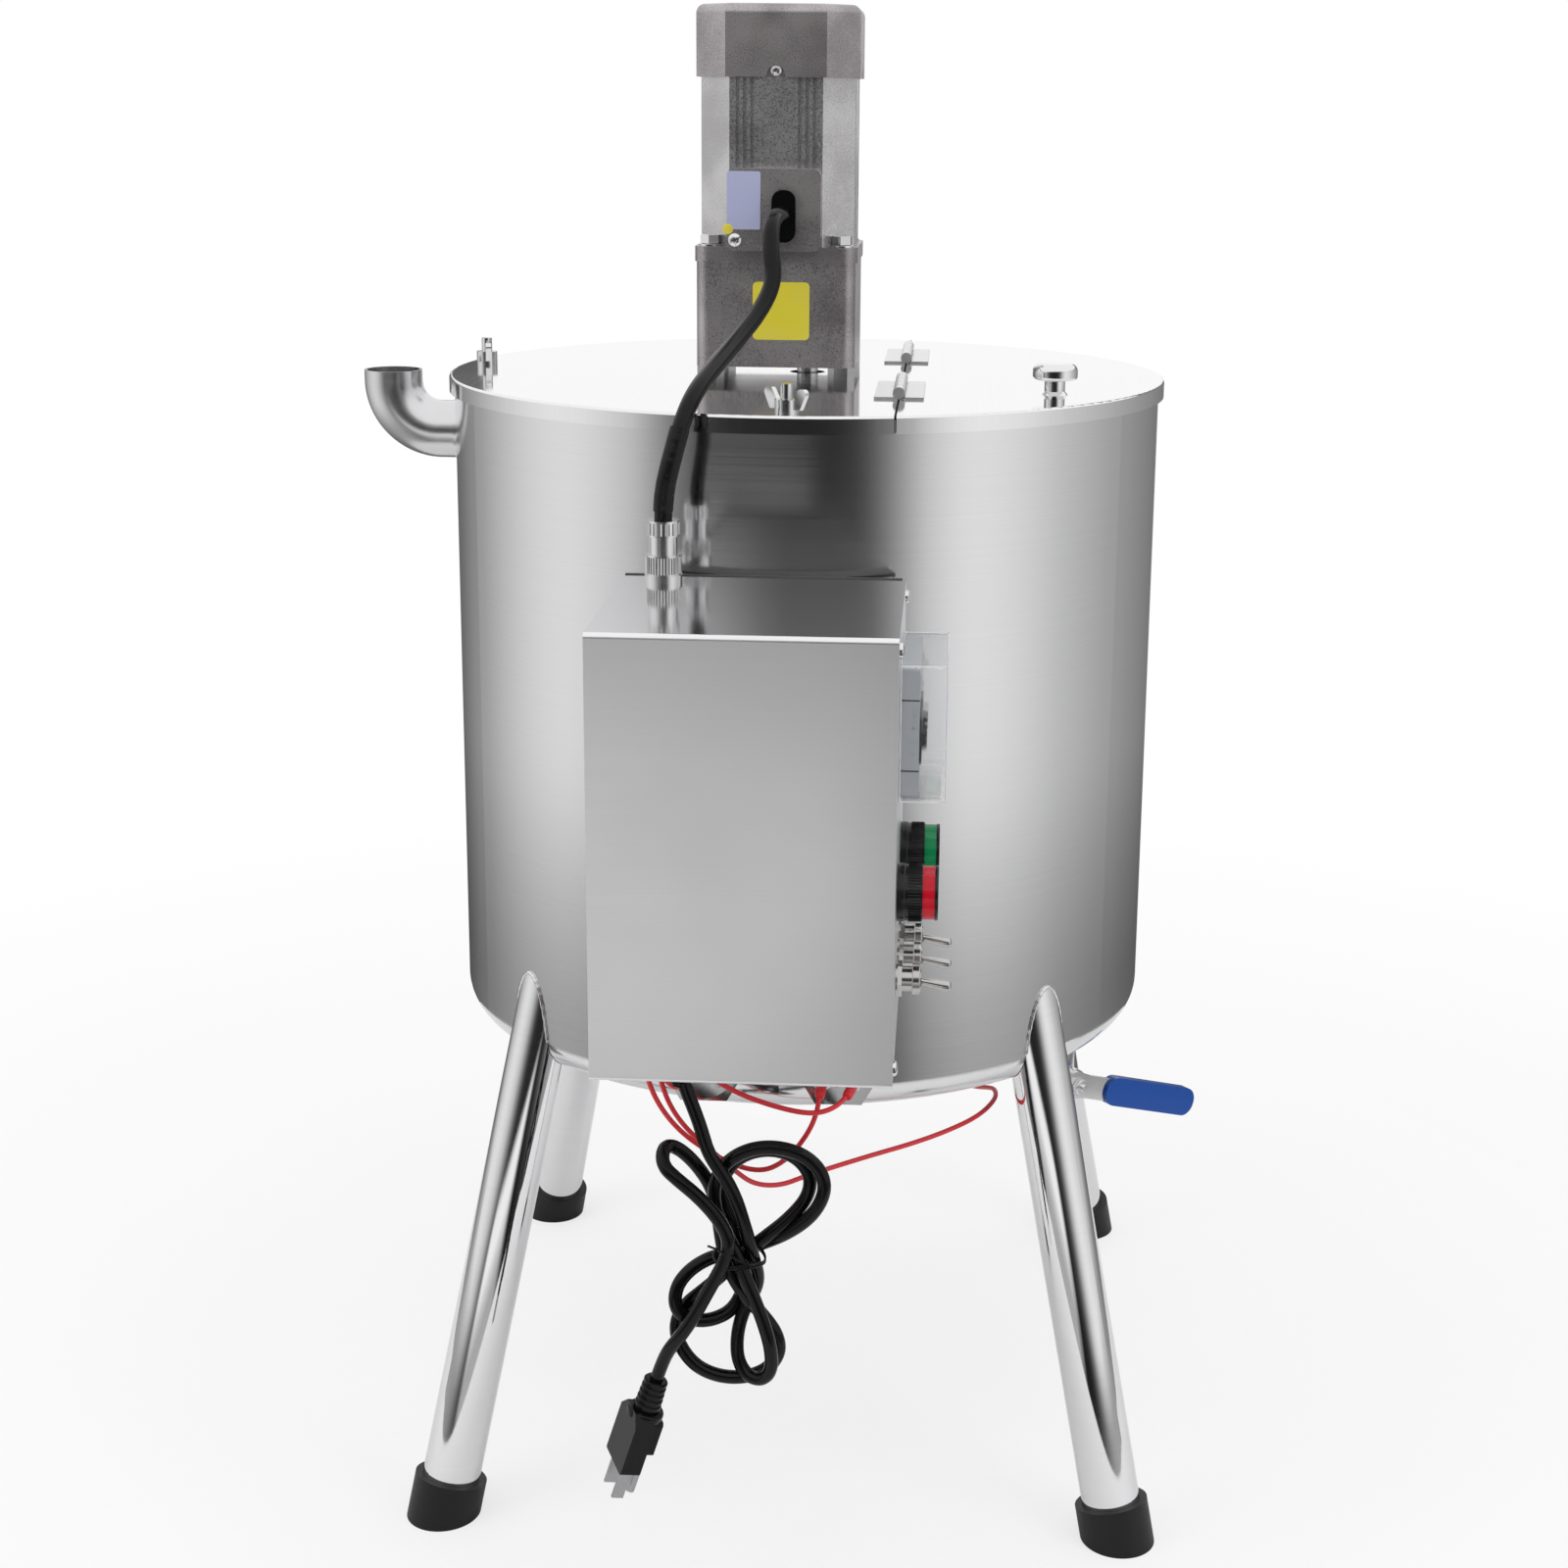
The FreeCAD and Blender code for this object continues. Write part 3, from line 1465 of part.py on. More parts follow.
# Each route is given from where the lead leaves or enters a piece
FROM_GROMMET = [
    (0, 0, 0), (-1.2, -17, 2.4), (-4.2, -34, -2.6), (-3.2, -43, -16.6),
    (-1.2, -47, -31.6), (-7.2, -59, -45.6),
]
TO_CONNECTOR = [
    (30, 73.5, 81.5), (21, 43.5, 70.5), (13, 16.5, 59.5), (8, 3.5, 44.5), (4, -1.5, 28.5),
    (0.5, -1, 13.5), (0, 0, 0),
]
POWER_LEAD = [
    (0, 0, 0), (0, 0, -11), (2.9, 0, -21.7), (8.4, 0, -31.3), (11.2, 0, -42), (11.2, 0, -53),
]
POWER_TAIL = [(-3.5, 0, -156.8), (-7.3, 0, -164.3), (-10.2, 0, -172.7), (-12.8, 0, -181)]
HANK_OUTLINE = [
    (-10, -53), (30, -53), (40, -47), (64, -50), (78.5, -72), (67, -99), (41, -114),
    (47, -133), (56.5, -155), (54, -177), (40, -185.5), (20, -186.5), (2, -177),
    (1.8, -159.5), (-8.8, -154.1), (-7, -133), (8, -109), (-9, -75),
]
HANK_FACE_CORNERS = (0, 13, 14)
LEFT_WIRE = [(-24, 15, 0), (-22, 14, -14), (-16, 14, -27), (-8, 15, -38)]
RIGHT_WIRE = [
    (-1, 22, 0), (0, 21, -18), (9, 20, -33), (25, 19, -43), (44, 17, -49), (62, 15, -52),
    (73, 17, -51),
]
HANGING_WIRE = [
    (-24, 23, 0), (-23, 23, -20), (-19, 23, -41), (-12, 23, -56), (-1, 23, -69),
    (14, 22.5, -79), (28, 22, -85.5), (40, 22, -87), (49.5, 22, -82), (57, 21.5, -73.5),
    (63, 21.5, -64), (66.5, 23, -55.5),
]
SENSOR_WIRE = [
    (-18, 29, 0), (-17, 30, -22), (-14, 31, -42), (-9, 31, -57), (0, 31, -70), (12, 32, -81),
    (24, 36, -94), (33, 46, -106), (46, 58, -112), (59.4, 65, -109), (74, 74, -107.5),
    (94, 87, -106), (113, 98, -104.5), (132, 111, -102.5), (150, 127, -100), (160, 147, -98),
    (160, 168, -101), (156, 184, -107), (150, 198, -113), (145, 213, -118),
]
# The last steps of each wire, measured back from what it ends on
INTO_LEFT_HEATER = [(-0.7, -12, 1.5), (0, 0, 0)]
INTO_RIGHT_HEATER = [(-2.8, -11.5, -1.5), (0, 0, 0)]
UP_TO_RIGHT_HEATER = [(-0.4, -8, -1), (0, 0, 0)]
UP_TO_SENSOR = [(1, -6, -16), (0, -0.5, -8), (0, 0, 0)]


def route_from(place, steps):
    """The points of a route whose steps are measured from a place given by formulas."""
    start = Vector(*(value(text) for text in place))
    return [start + Vector(*step) for step in steps]


def make_power_lead():
    gland = turned(
        "cord_gland",
        "XZ",
        [
            ("0", "-gland_length"),
            ("gland_radius - gland_taper", "-gland_length"),
            ("gland_radius", "-gland_nose"),
            ("gland_radius", "0"),
            ("0", "0"),
        ],
    )
    keep(place(gland, "lead_x", "lead_y", "box_bottom"))
    end = ("lead_x", "lead_y", "lead_end")
    lead("power_lead", route_from(end, POWER_LEAD), value("lead_radius"))
    hank = new_body("power_lead_hank")
    sketch = new_sketch(hank, "XZ", "-lead_y - hank_thick / 2")
    rounds = ["hank_edge_round" if i in HANK_FACE_CORNERS else "hank_round"
              for i in range(len(HANK_OUTLINE))]
    add_outline(
        sketch,
        [(f"lead_x + ({x})", f"lead_end + ({z})", corner)
         for (x, z), corner in zip(HANK_OUTLINE, rounds)],
    )
    pad(hank, sketch, "hank_thick")
    keep(hank)
    tail = route_from(end, POWER_TAIL)
    lead("power_lead_tail", tail, value("lead_radius"))

    plug = new_body("power_plug")
    sketch = new_sketch(plug, "XZ")
    add_outline(
        sketch,
        [
            ("0", "0"),
            ("plug_neck_radius - plug_neck_taper", "0"),
            ("plug_neck_radius", "-plug_neck_length"),
            ("plug_collar_radius", "-plug_neck_length", "plug_collar_round"),
            ("plug_collar_radius", "-plug_shoulder", "plug_collar_round"),
            ("0", "-plug_shoulder"),
        ],
    )
    turn(plug, sketch)
    half, slope = "plug_width / 2", "plug_width / 2 - plug_neck_radius"
    block = [
        ("plug_neck_radius", "-plug_neck_length"),
        (half, f"-plug_neck_length - ({slope})"),
        (half, "-plug_length", "plug_edge_round"),
        (f"-{half}", "-plug_length", "plug_edge_round"),
        (f"-{half}", f"-plug_neck_length - ({slope})"),
        ("-plug_neck_radius", "-plug_neck_length"),
    ]
    add_pad(plug, "XZ", "plug_front - plug_thick", block, "plug_thick")
    ridge = rectangle("0", "-plug_shoulder - plug_ridge_length / 2", "plug_ridge_width",
                      "plug_ridge_length", "2")
    add_pad(plug, "XZ", "plug_front - plug_thick - plug_ridge_thick", ridge,
            "plug_ridge_thick + 1")
    leaning = Rotation(Vector(0, 1, 0), value("plug_tilt"))
    faced = Rotation(Vector(0, 0, 1), value("plug_turn"))
    at = Placement(tail[-1], leaning.multiply(faced))
    plug.Placement = at
    keep(plug)
    pins = []
    for number, side in enumerate((-1, 1), start=1):
        blade = rectangle(f"{side} * blade_spacing / 2", "plug_thick / 2 - plug_front",
                          "blade_thick", "blade_width")
        pins.append(
            padded(f"plug_blade_{number}", "XY", "-plug_length", blade, "pin_length", True)
        )
    earth = new_body("plug_earth_pin")
    add_round_pad(earth, "XY", "-plug_shoulder - plug_ridge_length", "0", "earth_pin_offset",
                  "earth_pin_radius", "plug_length - plug_shoulder - plug_ridge_length"
                  " + pin_length", True)
    plug_pins = compound("power_plug_pins", pins + [earth])
    plug_pins.Placement = at
    keep(plug_pins)


def terminal_end(side, step):
    """Where a wire meets a heater's terminal: side is -1 or 1, step counts from the top."""
    angle = f"(90 + {120 * step})"
    return (
        f"heater_shift + {side} * heater_x + terminal_circle * cos({angle})",
        "heater_face - terminal_length",
        f"heater_z + terminal_circle * sin({angle})",
    )


def make_wires():
    sensor = new_body("level_sensor")
    add_round_pad(sensor, "XY", "jacket_floor", "sensor_x", "sensor_y", "sensor_radius",
                  "sensor_length", True)
    keep(sensor)
    start = ("lead_x", "lead_y", "box_bottom")
    sensor_end = ("sensor_x", "sensor_y", "jacket_floor - sensor_length")
    for label, steps, last_steps, end in (
        ("heater_wire_left", LEFT_WIRE, INTO_LEFT_HEATER, terminal_end(-1, 1)),
        ("heater_wire_right", RIGHT_WIRE, INTO_RIGHT_HEATER, terminal_end(1, 2)),
        ("hanging_wire", HANGING_WIRE, UP_TO_RIGHT_HEATER, terminal_end(1, 1)),
        ("sensor_wire", SENSOR_WIRE, UP_TO_SENSOR, sensor_end),
    ):
        route = route_from(start, steps) + route_from(end, last_steps)
        lead(label, route, value("wire_radius"))


make_jacket()
make_vessel()
make_rim()
make_lid()
make_hinges()
make_knob()
make_wing_nuts()
make_motor()
make_motor_fixings()
make_grommet()
make_agitator()
make_elbow()
make_legs()
make_box()
make_controller()
make_lamps()
make_toggles()
make_connector()
make_heaters()
make_valve()
mouth = route_from(("grommet_x", "lead_cover_face - grommet_length", "grommet_z"), FROM_GROMMET)
socket_end = route_from(("connector_x", "connector_y", "connector_top"), TO_CONNECTOR)
lead("motor_cable", mouth + socket_end, value("cable_radius"))
make_power_lead()
make_wires()
doc.recompute()

for item in doc.Objects:
    if "Invalid" in item.State or "Error" in item.State:
        raise RuntimeError(f"{item.Label} did not compute: {item.State}")
os.makedirs("parts", exist_ok=True)
for label, item in parts.items():
    shape = item.Shape
    if shape.isNull() or not shape.isValid() or not shape.Solids:
        raise RuntimeError(f"{label} is not a valid solid")
    shape.exportStep(f"parts/{label}.step")
    box = shape.optimalBoundingBox(False)
    print(f"{label}: {len(shape.Solids)} solids, {shape.Volume / 1000:.1f} cm3,",
          f"X {box.XMin:.1f}..{box.XMax:.1f} Y {box.YMin:.1f}..{box.YMax:.1f}",
          f"Z {box.ZMin:.1f}..{box.ZMax:.1f}")
print(len(parts), "sub-parts")
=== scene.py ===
# %% [markdown]
# # A jacketed mixing tank
# The solid model of the tank comes in as a fixed frame: every solid is already in its place, in
# metres, with the floor at z = 0 and the control box towards -y. This lesson dresses it: camera,
# light, metals and paints, the cords, and the small pieces that the solids leave out.

# %% Load the frame
import math

import bmesh
import bpy
from mathutils import Matrix, Vector


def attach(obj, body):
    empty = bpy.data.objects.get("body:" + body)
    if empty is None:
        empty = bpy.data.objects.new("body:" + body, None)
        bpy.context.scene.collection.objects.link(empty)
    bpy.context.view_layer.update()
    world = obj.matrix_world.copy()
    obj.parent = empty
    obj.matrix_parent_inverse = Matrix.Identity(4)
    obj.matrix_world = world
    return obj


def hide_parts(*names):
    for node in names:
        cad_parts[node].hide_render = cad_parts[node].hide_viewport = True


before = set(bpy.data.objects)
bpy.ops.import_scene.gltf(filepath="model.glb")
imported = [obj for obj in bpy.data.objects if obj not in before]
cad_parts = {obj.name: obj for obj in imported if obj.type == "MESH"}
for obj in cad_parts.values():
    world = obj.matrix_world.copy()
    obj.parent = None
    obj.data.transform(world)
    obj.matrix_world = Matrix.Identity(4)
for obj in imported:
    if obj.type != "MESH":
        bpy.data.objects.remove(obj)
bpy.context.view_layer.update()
MM = 0.001

# %% Helpers for objects
def put(name, data):
    """An object of that data, at the origin."""
    made = bpy.data.objects.new(name, data)
    bpy.context.scene.collection.objects.link(made)
    return made


def plain_mesh(holder):
    """What an object looks like after its modifiers, as a mesh."""
    graph = bpy.context.evaluated_depsgraph_get()
    return bpy.data.meshes.new_from_object(holder.evaluated_get(graph))



# %% [markdown]
# ## The camera
# A camera can be placed by eye or solved from points whose real places are known. This one was
# solved from the corners of the box, the rim, the feet and the motor. It looks down a little from
# the right of the middle. Its shift is small, so the upright lines lean a little, where a view
# camera's large shift would keep them upright.

# %% Camera
LENS = 54.84
CAMERA_PLACE = Vector((0.08372, -1.36916, 0.76873))
SENSOR = 36
SHIFT_X, SHIFT_Y = -0.03, -0.08
YAW, PITCH, ROLL = -0.050, 0.228, 0.010
ahead = Vector((math.sin(YAW) * math.cos(PITCH), math.cos(YAW) * math.cos(PITCH),
                -math.sin(PITCH)))
level = Vector((math.cos(YAW), -math.sin(YAW), 0))
upward = level.cross(ahead)
across = level * math.cos(ROLL) + upward * math.sin(ROLL)
upright = upward * math.cos(ROLL) - level * math.sin(ROLL)
camera_data = bpy.data.cameras.new("camera")
camera_data.lens = LENS
camera_data.sensor_width = SENSOR
camera_data.shift_x = SHIFT_X
camera_data.shift_y = SHIFT_Y
camera = put("camera", camera_data)
turned = Matrix((across, upright, -ahead)).transposed().to_4x4()
camera.matrix_world = Matrix.Translation(CAMERA_PLACE) @ turned
bpy.context.scene.camera = camera
bpy.context.scene.view_settings.view_transform = "Standard"
print("camera at", [round(c, 3) for c in camera.location])

# %% [markdown]
# ## Helpers for shader nodes
# Every finish here is procedural. Small helpers keep the cells short: one adds a node and sets its
# sockets, one starts a material with its main shader, and the others give noise, ranges, tints and
# bumps. A value that is the same all over is set on the shader's own socket.

# %% Node helpers
def add_node(tree, kind, links=None, **settings):
    """A node of that kind, with its properties set and its sockets linked or filled."""
    made = tree.nodes.new(kind)
    for key, setting in settings.items():
        setattr(made, key, setting)
    for socket, source in (links or {}).items():
        if isinstance(source, bpy.types.NodeSocket):
            tree.links.new(source, made.inputs[socket])
        else:
            made.inputs[socket].default_value = source
    return made


def new_material(name, colour, metallic, roughness, **sockets):
    """A material with one Principled shader. Underscores in socket names stand for spaces."""
    material = bpy.data.materials.new(name)
    material.use_nodes = True
    shader = material.node_tree.nodes["Principled BSDF"]
    shader.inputs["Base Color"].default_value = (*colour, 1)
    shader.inputs["Metallic"].default_value = metallic
    shader.inputs["Roughness"].default_value = roughness
    for name_of, setting in sockets.items():
        shader.inputs[name_of.replace("_", " ")].default_value = setting
    return material, material.node_tree, shader


def calc(tree, operation, first, second=0.0, **settings):
    """The result of one sum."""
    return add_node(tree, "ShaderNodeMath", {0: first, 1: second}, operation=operation,
                    **settings).outputs[0]


def object_place(tree):
    """Object coordinates."""
    return add_node(tree, "ShaderNodeTexCoord").outputs["Object"]


def distance(tree):
    """How far a point is from the origin."""
    return add_node(tree, "ShaderNodeVectorMath", {0: object_place(tree)},
                    operation="LENGTH").outputs["Value"]


def place_of(tree, scale=(1, 1, 1), turn=(0, 0, 0)):
    """Object coordinates, stretched and turned."""
    links = {"Vector": object_place(tree), "Scale": scale, "Rotation": turn}
    return add_node(tree, "ShaderNodeMapping", links).outputs["Vector"]


def noise(tree, vector, scale, detail=2.0, rough=0.5):
    """Soft random grey."""
    links = {"Vector": vector, "Scale": scale, "Detail": detail, "Roughness": rough}
    return add_node(tree, "ShaderNodeTexNoise", links).outputs[0]


def spread(tree, source, low, high, from_low=0.3, from_high=0.7):
    """Maps a grey to the range low to high."""
    links = {"Value": source, "From Min": from_low, "From Max": from_high,
             "To Min": low, "To Max": high}
    return add_node(tree, "ShaderNodeMapRange", links).outputs["Result"]


def tint(tree, factor, dark, light):
    """A colour between two by a factor."""
    mix = add_node(tree, "ShaderNodeMix", data_type="RGBA")
    mix.inputs[6].default_value = (*dark, 1)
    mix.inputs[7].default_value = (*light, 1)
    tree.links.new(factor, mix.inputs[0])
    return mix.outputs[2]


def relief(tree, shader, height, depth, strength=1.0):
    """Small bumps from a grey."""
    links = {"Height": height, "Distance": depth, "Strength": strength}
    bump = add_node(tree, "ShaderNodeBump", links)
    tree.links.new(bump.outputs["Normal"], shader.inputs["Normal"])


def gloss_between(tree, shader, grey, low, high):
    """Lets a grey vary the roughness."""
    tree.links.new(spread(tree, grey, low, high), shader.inputs["Roughness"])


def colour_between(tree, shader, grey, dark, light):
    """Lets a grey vary the colour."""
    tree.links.new(tint(tree, grey, dark, light), shader.inputs["Base Color"])


def grained(name, dark, light, roughness, scale, low, high, **sockets):
    """A soft finish with a fine grain in its colour, gloss and relief."""
    material, tree, shader = new_material(name, dark, 0, roughness, **sockets)
    fine = noise(tree, place_of(tree), scale, 3)
    colour_between(tree, shader, fine, dark, light)
    gloss_between(tree, shader, fine, low, high)
    relief(tree, shader, fine, 0.00001)
    return material


def smudged(name, colour, roughness, scale, detail, low, high, **sockets):
    """A plain finish whose gloss varies in soft clouds."""
    material, tree, shader = new_material(name, colour, 0, roughness, **sockets)
    gloss_between(tree, shader, noise(tree, place_of(tree), scale, detail), low, high)
    return material


# %% [markdown]
# ## Floor, white backdrop and light
# Polished steel has no look of its own: it shows the room. So the room is built with care. The
# floor is plain and pale, and the world is white wherever the camera, a reflection or a clear
# piece sees it. Round the tank stands a bowl that only reflections see, light at the left and
# right and dark in front, as soft boxes with a dark gap between them give. That gap is the dark
# upright band in the middle of the wall.

# %% Floor
bpy.ops.mesh.primitive_grid_add(x_subdivisions=8, y_subdivisions=8, size=80, location=(0, 0, 0))
floor = bpy.context.object
floor.name = "studio_floor"
floor_finish, tree, shader = new_material("floor_paint", (0.9, 0.9, 0.9), 0, 0.9)
path = add_node(tree, "ShaderNodeLightPath")
glow = add_node(tree, "ShaderNodeEmission", {"Strength": 1.0})
bright = spread(tree, distance(tree), 0.7, 1.0, 0.35, 1.2)
faint = calc(tree, "MULTIPLY", path.outputs["Is Camera Ray"], bright)
shown = add_node(tree, "ShaderNodeMixShader",
                 {0: faint, 1: shader.outputs[0], 2: glow.outputs[0]})
tree.links.new(shown.outputs[0], tree.nodes["Material Output"].inputs["Surface"])
floor.data.materials.append(floor_finish)
print("floor ready")

# %% World
world = bpy.data.worlds.new("white_room")
bpy.context.scene.world = world
world.use_nodes = True
tree = world.node_tree
path = add_node(tree, "ShaderNodeLightPath")
seen = calc(tree, "ADD", path.outputs["Is Camera Ray"], path.outputs["Is Glossy Ray"])
seen = calc(tree, "ADD", seen, path.outputs["Is Transmission Ray"], use_clamp=True)
soft = tree.nodes["Background"]
soft.inputs["Color"].default_value = (1, 1, 1, 1)
soft.inputs["Strength"].default_value = 0.55
white = add_node(tree, "ShaderNodeBackground", {"Color": (1, 1, 1, 1), "Strength": 1.0})
mixed = add_node(tree, "ShaderNodeMixShader", {0: seen, 1: soft.outputs[0], 2: white.outputs[0]})
tree.links.new(mixed.outputs[0], tree.nodes["World Output"].inputs["Surface"])
print("world ready")

# %% Soft boxes
def soft_box(name, place, aim, size, power):
    """An area lamp that lights the object and isn't seen in its metal."""
    data = bpy.data.lights.new(name, "AREA")
    data.shape = "RECTANGLE"
    data.size, data.size_y = size
    data.energy = power
    lamp = put(name, data)
    lamp.location = place
    direction = Vector(aim) - Vector(place)
    lamp.rotation_euler = direction.to_track_quat("-Z", "Y").to_euler()
    lamp.visible_camera = False
    lamp.visible_glossy = False
    return lamp


soft_box("soft_box_left", (-2.2, -1.4, 1.7), (0, 0, 0.4), (1.6, 2.0), 26)
soft_box("soft_box_right", (2.2, -1.6, 1.6), (0, 0, 0.4), (1.4, 2.0), 20)
soft_box("soft_box_top", (0.2, 0.2, 2.6), (0, 0, 0.4), (2.0, 2.0), 16)

# %% Bowl of light and dark for the reflections
BOWL = [(0.60, 0.004), (1.0, 0.006), (1.5, 0.012), (2.1, 0.03), (2.5, 0.12), (2.7, 0.5),
        (2.75, 1.0), (2.75, 1.6)]
BOWL_STEPS = 96
BACK_GAP = 4


def ring_mesh(name, profile, steps, left_out=0):
    """A surface round the z axis, with its faces inwards and a gap at the back."""
    points, faces = [], []
    for step in range(steps + 1):
        angle = 2 * math.pi * step / steps
        points += [(r * math.sin(angle), r * math.cos(angle), z) for r, z in profile]
    for step in range(left_out, steps - left_out):
        for i in range(len(profile) - 1):
            a = step * len(profile) + i
            b = a + len(profile)
            faces.append((a, b, b + 1, a + 1))
    mesh = bpy.data.meshes.new(name)
    mesh.from_pydata(points, [], faces)
    mesh.update()
    return put(name, mesh)


bowl = ring_mesh("reflector_bowl", BOWL, BOWL_STEPS, BACK_GAP)
bowl_finish = bpy.data.materials.new("reflector_cloth")
bowl_finish.use_nodes = True
tree = bowl_finish.node_tree
tree.nodes.remove(tree.nodes["Principled BSDF"])
spot = add_node(tree, "ShaderNodeSeparateXYZ", {0: object_place(tree)})
back = calc(tree, "MULTIPLY", spot.outputs["Y"], -1.0)
angle = calc(tree, "ARCTAN2", spot.outputs["X"], back)
part = spread(tree, angle, 0, 1, -math.pi, math.pi)
ramp = add_node(tree, "ShaderNodeValToRGB", {0: part})
ramp.color_ramp.interpolation = "B_SPLINE"
CLOTHS = [(-180, 0.10), (-145, 0.12), (-112, 0.50), (-78, 1.0), (-50, 0.62), (-34, 0.10),
          (-22, 0.02), (0, 0.02), (14, 0.02), (26, 0.10), (40, 0.72), (58, 1.0), (88, 0.62),
          (128, 0.32), (180, 0.10)]
stops = ramp.color_ramp.elements
for turn_of, grey in CLOTHS:
    at = (turn_of + 180) / 360
    stop = stops[0] if at == 0 else stops[-1] if at == 1 else stops.new(at)
    stop.color = (grey, grey, grey, 1)
far = distance(tree)
lift = spread(tree, far, 0.45, 1.0, 0.85, 1.6)
low = spread(tree, far, 1.0, 0.0, 2.2, 2.5)
CARD_TURN, CARD_INNER, CARD_OUTER = math.radians(13), math.radians(14), math.radians(22)
aside = calc(tree, "ABSOLUTE", calc(tree, "ADD", angle, CARD_TURN))
front = spread(tree, aside, 1.0, 0.0, CARD_INNER, CARD_OUTER)
card = calc(tree, "MAXIMUM", ramp.outputs[0], calc(tree, "MULTIPLY", low, front))
over = calc(tree, "MULTIPLY", spread(tree, angle, 0.9, 0.15, -0.8, -0.1),
            spread(tree, spot.outputs["Z"], 0.0, 1.0, 0.95, 1.15))
card = calc(tree, "MAXIMUM", card, over)
glow = add_node(tree, "ShaderNodeEmission", {"Color": card, "Strength": lift})
tree.links.new(glow.outputs[0], tree.nodes["Material Output"].inputs["Surface"])
bowl.data.materials.append(bowl_finish)
bowl.visible_camera = False
bowl.visible_diffuse = False
bowl.visible_shadow = False
bowl.visible_transmission = False
print("bowl faces:", len(bowl.data.polygons))

# %% [markdown]
# ## The power lead
# The real lead leaves the box through a gland, hangs down, is gathered in a loose hank that a
# thin wire ties, and ends in a plug. A cord is best one spline with a round bevel: its control
# points are chosen along the loops in the picture, and the order of 3 makes it smooth.

# %% Cord helper
def cord_curve(name, route, radius, material):
    """One smooth cord. The spline's order is set after its points are there."""
    data = bpy.data.curves.new(name, "CURVE")
    data.dimensions = "3D"
    data.bevel_depth = radius
    data.bevel_resolution = 5
    data.use_fill_caps = True
    spline = data.splines.new("NURBS")
    spline.points.add(len(route) - 1)
    for point, place in zip(spline.points, route):
        point.co = (*[c * MM for c in place], 1)
    spline.order_u = 3
    spline.use_endpoint_u = True
    spline.resolution_u = 8
    data.materials.append(material)
    return put(name, data)


def length_along(name, route):
    """The length of the cord's own spline, not of the line through its control points."""
    line = cord_curve(name, route, 0, None)
    points = [v.co.copy() for v in plain_mesh(line).vertices]
    bpy.data.objects.remove(line)
    return sum((b - a).length for a, b in zip(points, points[1:]))


# %% Rubber for the leads
lead_rubber = grained("lead_rubber", (0.002, 0.002, 0.002), (0.006, 0.006, 0.0062), 0.2, 900,
                      0.12, 0.18, Specular_IOR_Level=0.22)

# %% Power lead
LEAD_RADIUS = 3.5
LEAD_EXIT = (-44, -270, 315)
PLUG_TOP = (-56.8, -270, 134)
DOWN_TO_TIE = [
    (-44, -270, 304), (-41.1, -271, 293.3), (-36.8, -272.5, 283.5), (-32.8, -274.5, 273),
    (-29.3, -276.5, 261.5), (-20, -277, 248), (-15.2, -276.5, 237), (-12, -275, 225),
    (-9.2, -273, 213), (-7.3, -271, 203),
]
NARROW_LOOP = [
    (-5.3, -268, 194), (-5.8, -265, 185.5), (-9.8, -263.5, 177), (-14.2, -264.5, 167),
    (-16.1, -267, 156), (-15.2, -269.5, 145.5), (-9.9, -272.5, 138.6), (-2.1, -275.5, 138.6),
    (2.8, -278, 146), (2.3, -279.3, 159), (-1.6, -279.3, 173), (-7, -279.3, 188),
    (-12.2, -279, 200),
]
OUTER_LOOP = [
    (-17, -275, 211), (-23.8, -270, 221.4), (-27.8, -268.5, 232.3), (-26.4, -268.5, 246.3),
    (-19.2, -268.5, 256), (-7.8, -268.5, 262), (5.5, -268.5, 262.9), (18.4, -268.5, 258.8),
    (26.9, -268.5, 250), (28.5, -268.5, 239), (22.4, -268, 226.3), (9.8, -265, 214.8),
    (-4, -261, 206.5),
]
SMALL_LOOP = [
    (-16.4, -260.3, 200.9), (-28.3, -261.5, 199), (-38.7, -264.5, 194), (-46, -267.5, 186.2),
    (-47.7, -270, 177), (-43.9, -271, 170.2), (-33, -269.5, 166.4), (-20.7, -264, 168.4),
    (-14.4, -260, 176.3), (-12.6, -258.6, 187.4), (-13.4, -256, 199.6),
]
INNER_LOOP = [
    (-17.6, -257.5, 211.7), (-21.8, -260.3, 223.8), (-24.8, -261.3, 234.2), (-22.9, -261.3, 243.9),
    (-16.6, -261, 252.4), (-7.6, -261, 257.1), (3.3, -261, 258.1), (13.8, -261, 254.2),
    (20.7, -261, 245.1), (19.8, -262, 233.6), (10.1, -264, 222), (-3.2, -265.6, 211.2),
]
BIG_LOOP = [
    (-15.4, -266.3, 200.9), (-23.3, -267, 191.7), (-33.1, -265.5, 182), (-42.6, -263, 172.6),
    (-47.7, -263, 163.2), (-46.7, -265, 152.9), (-38.8, -268, 142.3), (-27.8, -269, 136.8),
    (-15, -269, 135.5), (-2.2, -268, 138.7), (5.9, -267, 148), (5.2, -267, 158.6),
    (-1.2, -268, 169.2), (-10, -271, 180.8), (-16.8, -273.3, 192.3),
]
HAIRPIN = [
    (-21.8, -271.5, 203.2), (-24.7, -265.5, 215.3), (-26.8, -260.5, 226.2), (-30.0, -259.8, 237.2),
    (-36.2, -259.8, 246.9), (-43.5, -260, 254.8), (-50, -262.5, 259.6), (-53.2, -269, 259.6),
    (-52, -276, 254), (-44.7, -279, 248.7), (-34.7, -279.8, 240.8), (-24.5, -280.8, 229.9),
    (-18.6, -281.3, 219), (-19.8, -280.6, 208), (-24.5, -280, 198.3), (-30.1, -279.8, 187.4),
    (-36.7, -279, 174), (-43.8, -277, 161.9), (-50.0, -273.5, 152.6), (-53.9, -271, 143.2),
]
